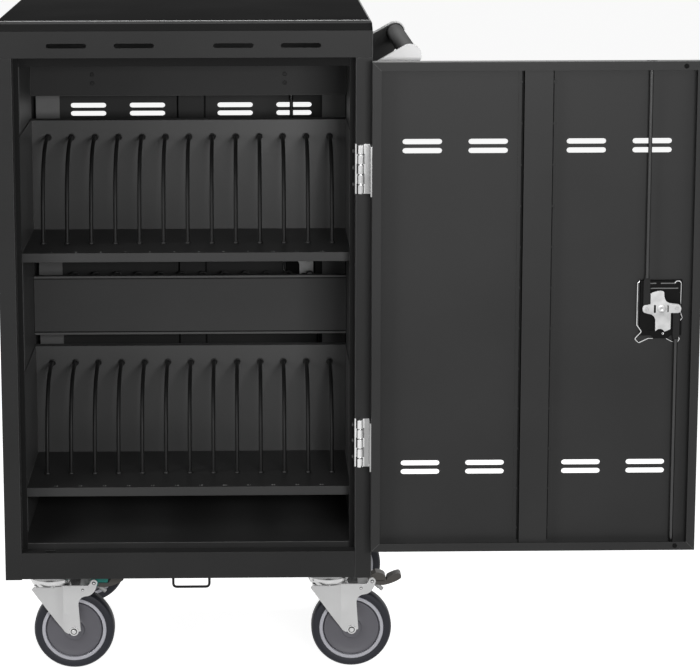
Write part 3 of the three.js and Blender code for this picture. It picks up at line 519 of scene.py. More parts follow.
GROMMET = [(3.3, 0.2), (5.2, 0.2), (5.6, 0.8), (5.2, 1.7), (4.2, 2.2), (3.4, 1.9)]
COLLAR = [(3.3, 0.1), (4.7, 0.1), (4.9, 1.2), (4.4, 2.6), (3.3, 3)]
rack_floors = {}
for level in ("upper", "lower"):
    node = f"{level}_rack_back"
    floor = round(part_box(node)[0].z / MM) + PANEL_FOOT
    rack_floors[level] = floor
    top = floor + RACK_HEIGHT
    panel = bmesh.new()
    fold = rounded([
        (RACK_BACK + PANEL_HEM, top, 0), (RACK_BACK, top, 2.5), (RACK_BACK, floor - PANEL_FOOT, 0),
        (RACK_BACK + SHEET, floor - PANEL_FOOT, 0), (RACK_BACK + SHEET, top - SHEET, 1),
        (RACK_BACK + PANEL_HEM, top - SHEET, 0),
    ])
    add_plate(panel, [fold], -RACK_HALF, RACK_HALF, along_x)
    mesh = mesh_of(panel, rack_painted_light)
    fit_piece(f"{level}_rack_panel", mesh, "cabinet", [node])

    def rod_point(y, z):
        return Vector((0, CABINET_FRONT + y * MM, (floor + z) * MM))

    first = (1 - DIVIDERS) / 2 * DIVIDER_PITCH * MM
    rods = grow(rod_row, {
        "Count": DIVIDERS,
        "First": Vector((CABINET_MIDDLE + first, 0, 0)),
        "Step": Vector((DIVIDER_PITCH * MM, 0, 0)),
        "Radius": DIVIDER_RADIUS * MM,
        "Top": rod_point(RACK_BACK + 1, DIVIDER_TOP),
        "Top Handle": rod_point(RACK_BACK - DIVIDER_REACH, DIVIDER_TOP + DIVIDER_RISE),
        "Foot Handle": rod_point(DIVIDER_FOOT + 9, DIVIDER_BEND),
        "Foot": rod_point(DIVIDER_FOOT, 0.3),
        "Material": divider_coat,
    })
    rods.set_sharp_from_angle(angle=BEVEL_ANGLE)
    fit_piece(f"{level}_divider_rods", rods, "cabinet")
    grommets = row_of(ring_item(GROMMET, facing_front), DIVIDERS, DIVIDER_PITCH, RACK_BACK,
                      floor + DIVIDER_TOP, rubber_and_painted_shade)
    fit_piece(f"{level}_rod_grommets", grommets, "cabinet")
    collars = row_of(ring_item(COLLAR, plain), DIVIDERS, DIVIDER_PITCH, DIVIDER_FOOT, floor, rubber_and_painted_shade)
    fit_piece(f"{level}_rod_collars", collars, "cabinet")

# Partition hems: the folded edges along the top and bottom of the middle panel, each with a near black
# strip beside it as painted shade. They are part of the coated sheet, painted lighter as a painted highlight.
HEM = 3.4
HEM_PROUD = 0.8
HEM_SHADE_HEIGHT = 1.8
HEM_SHADE_PROUD = 0.15
panel_low, panel_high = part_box("partition_middle_panel")
hems = bmesh.new()
hem_shade_strips = bmesh.new()
for z, into in ((panel_low.z / MM, 1), (panel_high.z / MM, -1)):
    edge = sorted((z, z + into * HEM))
    hem_shade_span = sorted((z + into * HEM, z + into * (HEM + HEM_SHADE_HEIGHT)))
    add_plate(hems, [round_box(-RACK_HALF, RACK_HALF, *edge, 0.6, 2)], RACK_BACK - HEM_PROUD, RACK_BACK, along_y)
    add_plate(hem_shade_strips, [round_box(-RACK_HALF, RACK_HALF, *hem_shade_span, 0.6, 2)],
              RACK_BACK - HEM_SHADE_PROUD, RACK_BACK, along_y)
fit_piece("partition_hems", mesh_of(hems, edge_wear_and_highlight, 0.3), "cabinet")
fit_piece("partition_creases", mesh_of(hem_shade_strips, painted_shade_black), "cabinet")

# Slot numbers: small white figures printed on each tray behind its lip, one for each laptop's place,
# counted on from the upper rack to the lower one.
NUMBER_SIZE = 7
NUMBER_Y = 66
number_ink = grained("number_ink", grey(0.5), grey(0.6), (0.5, 0.6), 0.1)


def text_mesh(words, size):
    """Flat lettering as a mesh about its own middle, facing up."""
    letters = bpy.data.curves.new("figures", "FONT")
    letters.body = words
    letters.size = size * MM
    letters.align_x = "CENTER"
    letters.extrude = 0.05 * MM
    return baked_mesh(link_object("figures", letters))


for level, first_number in (("upper", 1), ("lower", DIVIDERS)):
    shape = bmesh.new()
    for i in range(DIVIDERS - 1):
        figures = text_mesh(str(first_number + i), NUMBER_SIZE)
        x = (i - (DIVIDERS - 2) / 2) * DIVIDER_PITCH
        figures.transform(Matrix.Translation(at(x, NUMBER_Y, rack_floors[level] + 0.08)))
        shape.from_mesh(figures)
    bmesh.ops.remove_doubles(shape, verts=shape.verts, dist=0.001 * MM)
    fit_piece(f"{level}_slot_numbers", mesh_of(shape, number_ink), "cabinet")

# Screws: pan-head machine screws with a cross recess, black in the shell and bright in the hinges.
# They hold the partition rail to its uprights, and the later sections use the same head.
SCREW_RADIUS = 3.4
SCREW_HEIGHT = 2.2
CROSS = [0.55, 1.9]
black_screw = grained("black_screw", grey(0.008), grey(0.012), (0.4, 0.5), 0.1, specular=0.2)

scatter, scatter_in, scatter_out = geometry_tree("scatter_facing", [("Item", "Object")])
facing = scatter.nodes.new("GeometryNodeInputNamedAttribute")
facing.data_type = "FLOAT_VECTOR"
facing.inputs["Name"].default_value = "facing"
turn = scatter.nodes.new("FunctionNodeAlignRotationToVector")
turn.axis = "Z"
item_info = scatter.nodes.new("GeometryNodeObjectInfo")
placed = scatter.nodes.new("GeometryNodeInstanceOnPoints")
scatter.links.new(facing.outputs["Attribute"], turn.inputs["Vector"])
scatter.links.new(scatter_in.outputs["Geometry"], placed.inputs["Points"])
scatter.links.new(scatter_in.outputs["Item"], item_info.inputs["Object"])
scatter.links.new(item_info.outputs["Geometry"], placed.inputs["Instance"])
scatter.links.new(turn.outputs["Rotation"], placed.inputs["Rotation"])
close_tree(scatter, scatter_in, scatter_out, placed.outputs["Instances"])


def scattered(item, places, material):
    """Copies of an item at (point, direction) places, each turned to face its direction."""
    points = bpy.data.meshes.new("places")
    points.from_pydata([tuple(point) for point, _ in places], [], [])
    facings = points.attributes.new("facing", "FLOAT_VECTOR", "POINT")
    for i, (_, direction) in enumerate(places):
        facings.data[i].vector = direction
    template = link_object("template", item)
    mesh = grow(scatter, {"Item": template, "Material": material}, points)
    bpy.data.objects.remove(template)
    return mesh


def circle(radius, sides=20, u=0, v=0):
    return arc_points(u, v, radius, 0, 360, sides)[:-1]


def cross_outline():
    thin, long = CROSS
    quarter = [(long, -thin), (long, thin), (thin, thin)]
    points = []
    for turn_count in range(4):
        angle = turn_count * math.pi / 2
        for u, v in quarter:
            points.append((u * math.cos(angle) - v * math.sin(angle), u * math.sin(angle) + v * math.cos(angle)))
    return points


def screw_head(radius=SCREW_RADIUS):
    shape = bmesh.new()
    add_turned(shape, [(0, 0.05), (radius, 0.05), (radius, 1), (0, 1)], 20, plain)
    scale = radius / SCREW_RADIUS
    recess = [(u * scale, v * scale) for u, v in cross_outline()]
    add_plate(shape, [circle(radius * 0.9), recess], 1, SCREW_HEIGHT, plain)
    return mesh_of(shape, black_screw, 0.25)


TO_FRONT = Vector((0, -1, 0))
TO_BACK = Vector((0, 1, 0))
places = [(at(x, RACK_BACK, z), TO_FRONT) for x in (-153, 153) for z in (892, 906)]
screws = scattered(screw_head(), places, black_screw)
fit_piece("partition_screws", screws, "cabinet")

# Power strips: moulded black housings on the rear of the partition, each with twelve sockets. A socket
# is a round well with an earthed face of three slots.
OUTLETS = 12
OUTLET_PITCH = 35.7
STRIP_FRONT = RACK_BACK + SHEET + 0.3
STRIP_FACE = STRIP_FRONT + 38
STRIP_HALF = 236
STRIP_HEIGHT = 22
WELL_RADIUS = 13
WELL_DEPTH = 6
black_plastic = grained("black_plastic", grey(0.012), grey(0.016), (0.42, 0.52), 0.3, scales=(900, 2600, 8))
socket_plastic = grained("socket_plastic", grey(0.022), grey(0.028), (0.35, 0.45), 0.15, scales=(900, 2600, 8))


def facing_back(u, v, w):
    return Vector((-u, w, v)) * MM


def socket_face():
    shape = bmesh.new()
    holes = [rounded([(u - 1, -3.5, 0.4), (u + 1, -3.5, 0.4), (u + 1, 3.5, 0.4), (u - 1, 3.5, 0.4)], 2)
             for u in (-5, 5)]
    holes = [[(u, v + 2) for u, v in hole] for hole in holes]
    holes.append(circle(2.2, 16, 0, -6.5))
    add_plate(shape, [circle(WELL_RADIUS - 0.5, 32)] + holes, 0.3, 2.3, facing_back)
    return mesh_of(shape, socket_plastic, 0.2)


for level in ("upper", "lower"):
    node = f"{level}_power_strip"
    low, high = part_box(node)
    middle = (low.z + high.z) / 2 / MM
    sides = (middle - STRIP_HEIGHT, middle + STRIP_HEIGHT)
    strip = bmesh.new()
    base = round_box(STRIP_FRONT, STRIP_FACE - WELL_DEPTH, *sides, 2, 3)
    add_plate(strip, [base], -STRIP_HALF, STRIP_HALF, along_x)
    wells = []
    for i in range(OUTLETS):
        wells.append(circle(WELL_RADIUS, 32, (i - (OUTLETS - 1) / 2) * OUTLET_PITCH, middle))
    lid = round_box(-STRIP_HALF, STRIP_HALF, *sides, 3)
    add_plate(strip, [lid] + wells, STRIP_FACE - WELL_DEPTH, STRIP_FACE, along_y)
    fit_piece(f"{level}_strip_housing", mesh_of(strip, black_plastic, 0.8), "cabinet", [node])
    faces = row_of(socket_face(), OUTLETS, OUTLET_PITCH, STRIP_FACE - WELL_DEPTH, middle, socket_plastic)
    fit_piece(f"{level}_strip_sockets", faces, "cabinet")

# Cable comb: a plastic bar between the rear posts with a row of open rings that each hold one lead.
comb_low, comb_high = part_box("cable_comb")
COMB_BACK = round((comb_high.y - CABINET_FRONT) / MM, 1)
COMB_TOP = 546
COMB_HALF = 254
COMB_RING = [5, 7.5]
comb = bmesh.new()
comb_bar = round_box(-COMB_HALF, COMB_HALF, COMB_TOP - 16, COMB_TOP, 1.5, 2)
add_plate(comb, [comb_bar], COMB_BACK - 2, COMB_BACK, along_y)
fit_piece("cable_comb_bar", mesh_of(comb, black_plastic, 0.5), "cabinet", ["cable_comb"])
ring = bmesh.new()
inner, outer = COMB_RING
hook = arc_points(0, 0, outer, -18, 288, 28) + arc_points(0, 0, inner, 288, -18, 28)
add_plate(ring, [hook], -5, 0, lambda u, v, w: Vector((u, w, v)) * MM)
rings = row_of(mesh_of(ring, black_plastic, 0.5), OUTLETS, OUTLET_PITCH, COMB_BACK, COMB_TOP + 6, black_plastic)
fit_piece("cable_comb_rings", rings, "cabinet")

# Mains inlet: a flanged plastic socket in the left wall with three flat pins in its well, held by a
# screw at each end of the flange.
inlet_low, inlet_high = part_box("power_inlet")
INLET_Y = ((inlet_low.y + inlet_high.y) / 2 - CABINET_FRONT) / MM
INLET_Z = (inlet_low.z + inlet_high.z) / 2 / MM
WALL_X = -WIDTH / 2
pin_steel = grained("pin_steel", grey(0.55), grey(0.65), (0.25, 0.35), 0.1, metallic=1.0)
dress("power_inlet", black_plastic, 0.6)
pins = bmesh.new()
for y, z in ((-7, -3), (7, -3), (0, 4)):
    blade = round_box(INLET_Y + y - 1, INLET_Y + y + 1, INLET_Z + z - 2.5, INLET_Z + z + 2.5, 0.4, 2)
    add_plate(pins, [blade], WALL_X + 1, WALL_X + 12.2, along_x)
fit_piece("inlet_pins", mesh_of(pins, pin_steel, 0.3), "cabinet")
TO_LEFT = Vector((-1, 0, 0))
inlet_face = (inlet_low.x - CABINET_MIDDLE) / MM
HEAD_SUNK = 1.5
places = [(at(inlet_face + HEAD_SUNK, INLET_Y, INLET_Z + side * 24), TO_LEFT) for side in (-1, 1)]
fit_piece("inlet_screws", scattered(screw_head(2.6), places, black_screw), "cabinet")

# Push handle: a black tube between two fin-shaped brackets on the right wall. Each bracket is a black
# inner half under a silver cap, screwed on through the wall.
HANDLE_X = 338
HANDLE_Z = 958
HANDLE_RADIUS = 14
HANDLE_TIP = 17
BRACKET_FOOT = (845, 945)
BRACKET_THICK = 20
CAP_THICK = 9
CORE_INSET = 1.6
silver_cap = grained("silver_cap", grey(0.82), grey(0.86), (0.36, 0.44), 0.08, metallic=0.15)
cap_side_shade = grained("cap_side_shade", grey(0.28), grey(0.34), (0.35, 0.45), 0.12)
bracket_core = grained("bracket_core", grey(0.02), grey(0.026), (0.45, 0.55), 0.25)
handle_grip = grained("handle_grip", grey(0.011), grey(0.014), (0.46, 0.54), 0.2, specular=0.03)


def tangent_angle(z, side, radius):
    """The angle on the bracket's tip where a straight side from the wall at height z meets it."""
    reach = Vector((HANDLE_X - WIDTH / 2, HANDLE_Z - z))
    swing = math.degrees(math.asin(radius / reach.length))
    return math.degrees(math.atan2(reach.y, reach.x)) + side * (swing + 90)


def fin_outline(inset):
    low, high = BRACKET_FOOT
    radius = HANDLE_TIP - inset
    wall = WIDTH / 2 + 0.3
    start = tangent_angle(low + inset, -1, radius)
    end = tangent_angle(high - inset, 1, radius)
    return [(wall, high - inset), (wall, low + inset)] + arc_points(HANDLE_X, HANDLE_Z, radius, start, end, 24)


for end in ("front", "rear"):
    node = f"handle_bracket_{end}"
    low = (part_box(node)[0].y - CABINET_FRONT) / MM
    high = low + BRACKET_THICK
    cap_span = (low, low + CAP_THICK) if end == "front" else (high - CAP_THICK, high)
    core_span = (low + CAP_THICK, high) if end == "front" else (low, high - CAP_THICK)
    cap = bmesh.new()
    add_plate(cap, [fin_outline(0)], *cap_span, along_y)
    fit_piece(f"{node}_cap", mesh_of(cap, silver_cap, 1.2), "cabinet", [node])
    # The cap's edge faces are painted grey as painted shade.
    tint(f"{node}_cap", cap_side_shade, lambda face: abs(face.normal.y) < 0.3)
    core = bmesh.new()
    add_plate(core, [fin_outline(CORE_INSET)], *core_span, along_y)
    fit_piece(f"{node}_core", mesh_of(core, bracket_core, 1.0), "cabinet")
grip_low, grip_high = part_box("handle_tube")
grip_span = [(grip_low.y - CABINET_FRONT) / MM, (grip_high.y - CABINET_FRONT) / MM]


def about_handle(u, v, w):
    return at(HANDLE_X + u, w, HANDLE_Z + v)


grip = bmesh.new()
start, end = grip_span
collar = HANDLE_RADIUS + 0.9
add_turned(grip, [
    (0, start), (collar, start), (collar, start + 5), (collar - 0.9, start + 6),
    (collar - 0.9, end - 6), (collar, end - 5), (collar, end), (0, end),
], 40, about_handle)
fit_piece("handle_grip", mesh_of(grip, handle_grip), "cabinet", ["handle_tube"])

# Wire loop: a bent steel rod under the front apron, coated black with the shell.
loop_low, loop_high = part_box("pull_loop")
LOOP_RADIUS = 2
LOOP_CORNER = 6


def add_wire(shape, points, radius, sides=12):
    """A round wire of a radius in millimetres along points in metres, with flat ends."""
    rings = []
    normal = None
    for i, point in enumerate(points):
        ahead = (points[min(i + 1, len(points) - 1)] - points[max(i - 1, 0)]).normalized()
        normal = normal or ahead.orthogonal()
        normal = (normal - ahead * normal.dot(ahead)).normalized()
        side = ahead.cross(normal)
        ring = []
        for u, v in circle(radius, sides):
            ring.append(point + (normal * u + side * v) * MM)
        rings.append(ring)
    add_loft(shape, rings)


def filleted(corners, radius, steps=5):
    """A path in metres through corners in millimetres, with each inner corner rounded."""
    path = [corners[0]]
    for before, corner, after in zip(corners, corners[1:], corners[2:]):
        back = (before - corner).normalized()
        forth = (after - corner).normalized()
        half = back.angle(forth) / 2
        reach = min(radius / math.tan(half), (before - corner).length * 0.48, (after - corner).length * 0.48)
        start = corner + back * reach
        end = corner + forth * reach
        for i in range(steps + 1):
            t = i / steps
            path.append(start * (1 - t) ** 2 + corner * 2 * t * (1 - t) + end * t * t)
    return path + [corners[-1]]


loop_ends = [(loop_low.x - CABINET_MIDDLE) / MM + LOOP_RADIUS, (loop_high.x - CABINET_MIDDLE) / MM - LOOP_RADIUS]
loop_y = ((loop_low.y + loop_high.y) / 2 - CABINET_FRONT) / MM
loop_z = [loop_high.z / MM, loop_low.z / MM + LOOP_RADIUS]
corners = [
    at(loop_ends[0], loop_y, loop_z[0]), at(loop_ends[0], loop_y, loop_z[1]),
    at(loop_ends[1], loop_y, loop_z[1]), at(loop_ends[1], loop_y, loop_z[0]),
]
loop = bmesh.new()
add_wire(loop, filleted(corners, LOOP_CORNER * MM), LOOP_RADIUS)
fit_piece("pull_loop_wire", mesh_of(loop, divider_coat), "cabinet", ["pull_loop"])

# Doors: pans of 1.5 mm steel with a lip all round and a hat stiffener spot-welded up the middle. The
# lips are mitred and welded at the corners, and small rubber buffers sit near the free corners.
PIN_X = 262
PIN_Y = 7
DOOR_EDGE = 16
DOOR_FREE = 508
DOOR_LIP_FACE = 29
DOOR_LIP = 13
door_low, door_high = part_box("front_door_panel")
DOOR_BOTTOM = door_low.z / MM
DOOR_TOP = door_high.z / MM
DOOR_MIDDLE = (DOOR_BOTTOM + DOOR_TOP) / 2


def front_door(u, d, z):
    """The open front door: u from its pin along the door, d from the pin into the pan, z up."""
    return at(PIN_X + u, -PIN_Y - d, z)


def rear_door(u, d, z):
    return at(u - PIN_X, DEPTH + PIN_Y - d, z)


DOORS = {"front": front_door, "rear": rear_door}
door_coat = grained("door_coat", grey(0.044), grey(0.052), (0.36, 0.44), 0.25, specular=0.12)
buffer_rubber = grained("buffer_rubber", grey(0.012), grey(0.015), (0.6, 0.7), 0.2, specular=0.05)
door_painted_shade = grained("door_painted_shade", grey(0.005), grey(0.007), (0.5, 0.6), 0.25, specular=0.0)
BUFFER = [(0, 0.05), (3.7, 0.05), (3.7, 0.4), (3.3, 0.6), (2, 0.6), (1.6, 0.3), (0, 0.3)]
BUFFER_IN = 30
WELD_PITCH = 62
WELD = [(0, 0.02), (2.6, 0.02), (2.2, 0.3), (0, 0.4)]
STIFFENER_MIDDLE = (DOOR_EDGE + DOOR_FREE) / 2
STIFFENER_HALF = 21
STIFFENER_FOOT = 9.7
SHADE_STRIP_WIDTH = 3
SHADE_STRIP_DEPTH = 0.4
for side, door in DOORS.items():
    body = f"{side}_door"
    # The door's rounded edges take the lighter edge coat, partly rubbed and partly painted highlight.
    dress(f"{side}_door_panel", door_coat, 0.5, edge_wear_and_highlight)
    door_start = door(DOOR_EDGE, 0, DOOR_BOTTOM)
    door_end = door(DOOR_FREE, 0, DOOR_TOP)

    def inside_pan(face):
        x, _, z = face.center
        clear_x = min(x - door_start.x, door_end.x - x) > SHEET / 2 * MM
        clear_z = min(z - door_start.z, door_end.z - z) > SHEET / 2 * MM
        return clear_x and clear_z and abs(face.normal.y) < 0.3

    # The inner walls of the pan's lips and the stiffener's flanks are painted near black as painted shade.
    tint(f"{side}_door_panel_finish", door_painted_shade, inside_pan)
    seams = bmesh.new()
    for u, turn_in in ((DOOR_EDGE, 1), (DOOR_FREE, -1)):
        for z, up in ((DOOR_BOTTOM, 1), (DOOR_TOP, -1)):
            start = door(u + turn_in * 1.2, DOOR_LIP_FACE - 0.15, z + up * 1.2)
            end = door(u + turn_in * DOOR_LIP, DOOR_LIP_FACE - 0.15, z + up * DOOR_LIP)
            add_wire(seams, [start, end], 0.45, 8)
    # The corner welds take the lighter edge coat, partly as painted highlight.
    fit_piece(f"{side}_door_corner_welds", mesh_of(seams, edge_wear_and_highlight), body)
    inward = Vector((0, -1, 0))
    places = [(door(DOOR_FREE - BUFFER_IN, DOOR_LIP_FACE, DOOR_BOTTOM + 7), inward),
              (door(DOOR_FREE - BUFFER_IN, DOOR_LIP_FACE, DOOR_TOP - 7), inward)]
    buffers = scattered(ring_item(BUFFER, plain), places, buffer_rubber)
    fit_piece(f"{side}_door_buffers", buffers, body)
    welds = []
    count = int((DOOR_TOP - DOOR_BOTTOM - 40) / WELD_PITCH) + 1
    for i in range(count):
        z = DOOR_MIDDLE + (i - (count - 1) / 2) * WELD_PITCH
        for u in (-25, 25):
            welds.append((door(STIFFENER_MIDDLE + u, 9.6, z), inward))
    spots = scattered(ring_item(WELD, plain, 14), welds, door_coat)
    fit_piece(f"{side}_door_spot_welds", spots, body)
    # A near black strip along each foot of the stiffener is painted shade.
    stiffener_shade_strips = bmesh.new()
    for way in (-1, 1):
        near = STIFFENER_MIDDLE + way * STIFFENER_HALF
        strip = [(near, STIFFENER_FOOT - 0.2), (near + way * SHADE_STRIP_WIDTH, STIFFENER_FOOT - 0.2),
                 (near + way * SHADE_STRIP_WIDTH, STIFFENER_FOOT), (near, STIFFENER_FOOT + SHADE_STRIP_DEPTH)]
        add_plate(stiffener_shade_strips, [strip], DOOR_BOTTOM + DOOR_LIP, DOOR_TOP - DOOR_LIP, door)
    fit_piece(f"{side}_door_seal_beads", mesh_of(stiffener_shade_strips, painted_shade_black), body)

# Hinges: bright-plated steel leaves that wrap from the post and the door edge round to a barrel of five
# knuckles in front of the post. The pin is fixed in the frame leaf, which three screws hold to the post.
HINGE_HEIGHT = 75
HINGE_OFFSET = 210
HINGE_SHEET = 2
KNUCKLES = 5
KNUCKLE_RADIUS = 5.2
KNUCKLE_EDGE = 0.8
KNUCKLE_GAP = 0.8
HINGE_PIN_RADIUS = 2.2
hinge_plate = grained("hinge_plate", grey(0.62), grey(0.7), (0.14, 0.24), 0.06, metallic=1.0,
                      scales=(60, 900, 14))
hinge_flat_shade = grained("hinge_flat_shade", grey(0.28), grey(0.37), (0.24, 0.34), 0.06, metallic=1.0, scales=(60, 900, 14))
hinge_screw = grained("hinge_screw", grey(0.06), grey(0.09), (0.35, 0.45), 0.1, specular=0.3)


def front_frame(x, y, z):
    return at(x, y, z)


def rear_frame(x, y, z):
    return at(-x, DEPTH - y, z)


FRAMES = {"front": front_frame, "rear": rear_frame}


def knuckle_span(middle, index):
    pitch = HINGE_HEIGHT / KNUCKLES
    low = middle - HINGE_HEIGHT / 2 + index * pitch
    return [low + KNUCKLE_GAP / 2, low + pitch - KNUCKLE_GAP / 2]


def add_knuckle(shape, span, place, bore):
    low, high = span
    add_turned(shape, [
        (bore, low), (KNUCKLE_RADIUS - KNUCKLE_EDGE, low), (KNUCKLE_RADIUS, low + KNUCKLE_EDGE),
        (KNUCKLE_RADIUS, high - KNUCKLE_EDGE), (KNUCKLE_RADIUS - KNUCKLE_EDGE, high), (bore, high),
    ], 32, place)


for side in ("front", "rear"):
    to_frame = FRAMES[side]
    to_door = DOORS[side]

    def about_pin(u, v, w):
        return to_frame(PIN_X + u, -PIN_Y + v, w)

    def door_plan(u, v, w):
        return to_door(u, v, w)

    for place, offset in (("upper", HINGE_OFFSET), ("lower", -HINGE_OFFSET)):
        middle = DOOR_MIDDLE + offset
        low = middle - HINGE_HEIGHT / 2
        high = middle + HINGE_HEIGHT / 2
        wing = POST_INNER - 0.3 - HINGE_SHEET
        clear = PIN_X - KNUCKLE_RADIUS - 0.6
        front = (-0.3 - HINGE_SHEET, -0.3)
        leaf = bmesh.new()
        fold = rounded([
            (wing, 22, 0), (wing, front[0], 2.2), (clear, front[0], 0), (clear, front[1], 0),
            (wing + HINGE_SHEET, front[1], 0.4), (wing + HINGE_SHEET, 22, 0),
        ])
        add_plate(leaf, [fold], low, high, to_frame)
        for i in range(1, KNUCKLES, 2):
            span = knuckle_span(middle, i)
            strap = [(clear - 1, front[0]), (PIN_X, front[0]), (PIN_X, front[1]), (clear - 1, front[1])]
            add_plate(leaf, [strap], *span, to_frame)
            add_knuckle(leaf, span, about_pin, HINGE_PIN_RADIUS - 0.2)
        add_turned(leaf, [(0, low - 0.4), (1.6, low - 0.4), (HINGE_PIN_RADIUS, low + 0.4),
                          (HINGE_PIN_RADIUS, high - 0.4), (1.6, high + 0.4), (0, high + 0.4)], 20, about_pin)
        node = f"{side}_frame_leaf_{place}"
        fit_piece(node + "_finish", mesh_of(leaf, hinge_plate), "cabinet", [node])
        axis = about_pin(0, 0, 0).xy
        tint(node + "_finish", hinge_screw, lambda face: (face.center.xy - axis).length < HINGE_PIN_RADIUS * MM)

        leaf = bmesh.new()
        near = KNUCKLE_RADIUS + 0.6
        strap_face = (-KNUCKLE_RADIUS - 1.5, -KNUCKLE_RADIUS + 0.5)
        fold = rounded([
            (near, strap_face[0], 0), (DOOR_EDGE - 0.3, strap_face[0], 2.2), (DOOR_EDGE - 0.3, PIN_Y + 20, 0),
            (DOOR_EDGE - 0.3 - HINGE_SHEET, PIN_Y + 20, 0), (DOOR_EDGE - 0.3 - HINGE_SHEET, strap_face[1], 0.4),
            (near, strap_face[1], 0),
        ])
        add_plate(leaf, [fold], low, high, door_plan)
        for i in range(0, KNUCKLES, 2):
            span = knuckle_span(middle, i)
            strap = [(0, strap_face[0]), (near + 1, strap_face[0]), (near + 1, strap_face[1]), (0, strap_face[1])]
            add_plate(leaf, [strap], *span, door_plan)
            add_knuckle(leaf, span, door_plan, HINGE_PIN_RADIUS + 0.9)
        node = f"{side}_door_leaf_{place}"
        fit_piece(node + "_finish", mesh_of(leaf, hinge_plate), f"{side}_door", [node])
        strap_start = to_door(near, 0, 0).x
        # The flat faces of the door leaf's strap are painted darker as painted shade.
        tint(node + "_finish", hinge_flat_shade, lambda face: abs(face.normal.y) > 0.9 and face.center.x > strap_start)

        inside = to_frame(-1, 0, 0) - to_frame(0, 0, 0)
        places = [(to_frame(wing, 12, middle + rise), inside.normalized()) for rise in (-25, 0, 25)]
        heads = scattered(screw_head(3), places, hinge_screw)
        fit_piece(f"{side}_hinge_screws_{place}", heads, "cabinet")

# Two-point locks: a moulded cup through the door with a turn handle outside. Inside, a zinc cam swings two
# coated rods that shoot into the header and the apron, and a bent wire clip holds the cup in the door.
LOCK_U = 451
ARM_RADIUS = 22.5
ROD_D = 18
ROD_RADIUS = 3
PADDLE_END = 53
CAM_FACE = [19.4, 21.9]
BODY_FACE = 14.5
cam_zinc = grained("cam_zinc", grey(0.38), grey(0.5), (0.3, 0.46), 0.35, metallic=0.85, scales=(420, 1800, 60))
clip_wire = grained("clip_wire", grey(0.6), grey(0.7), (0.2, 0.3), 0.1, metallic=1.0)
rod_coat = grained("rod_coat", grey(0.042), grey(0.05), (0.4, 0.48), 0.15, specular=0.02)
rod_gloss = grained("rod_gloss", grey(0.005), grey(0.007), (0.24, 0.28), 0.03, specular=0.7)
lock_plastic_and_shade = grained("lock_plastic_and_shade", grey(0.008), grey(0.011), (0.45, 0.55), 0.2, specular=0.06)
rib_edge = grained("rib_edge", grey(0.2), grey(0.26), (0.4, 0.5), 0.1)
CAM_LOBE = [(-17.2, 7), (-17.2, 23.4), (-14, 25.3), (-10, 26.6), (-6, 27.6), (-1.7, 27.9), (1.2, 27.2),
            (2.9, 25.6), (3.3, 23.2), (3.5, 19), (4.4, 15.4), (6.4, 12), (8.6, 10.2), (11.3, 9.2), (14, 8.6)]
CAM_TONGUE = [(13.7, -5), (13.7, -30.7), (9.5, -33), (4.8, -34.8), (3.2, -33.2), (2, -31.5), (-1, -30.5),
              (-5, -30.7), (-7, -32.4), (-9.2, -34), (-9.5, -15.7), (-11.5, -11.6), (-15.6, -8.3), (-21.3, -7.1)]
CLIP_LEFT = [(-32.9, 41.5, 15.6), (-36.2, 38.6, 15.6), (-36.2, -25.6, 15.6), (-29, -35.7, 15.6), (-38.6, -46.9, 13),
             (-32.4, -54, 11), (-17.4, -46.9, 11), (-11, -46.9, 11)]
CLIP_RIGHT = [(19.3, 38, 15.6), (22.2, 41.5, 15.6), (27, 41.5, 15.6), (29.5, 38.6, 15.6), (29.5, -40, 12.5),
              (25, -42, 11), (29.8, -47.8, 11), (25.6, -53.6, 11), (17.4, -51.7, 11), (9.2, -47.3, 11)]
HOOK = [(28.2, -4, 15.6), (32.6, -14.8, 15.6), (29, -18.6, 15.6), (27.4, -17.6, 14)]
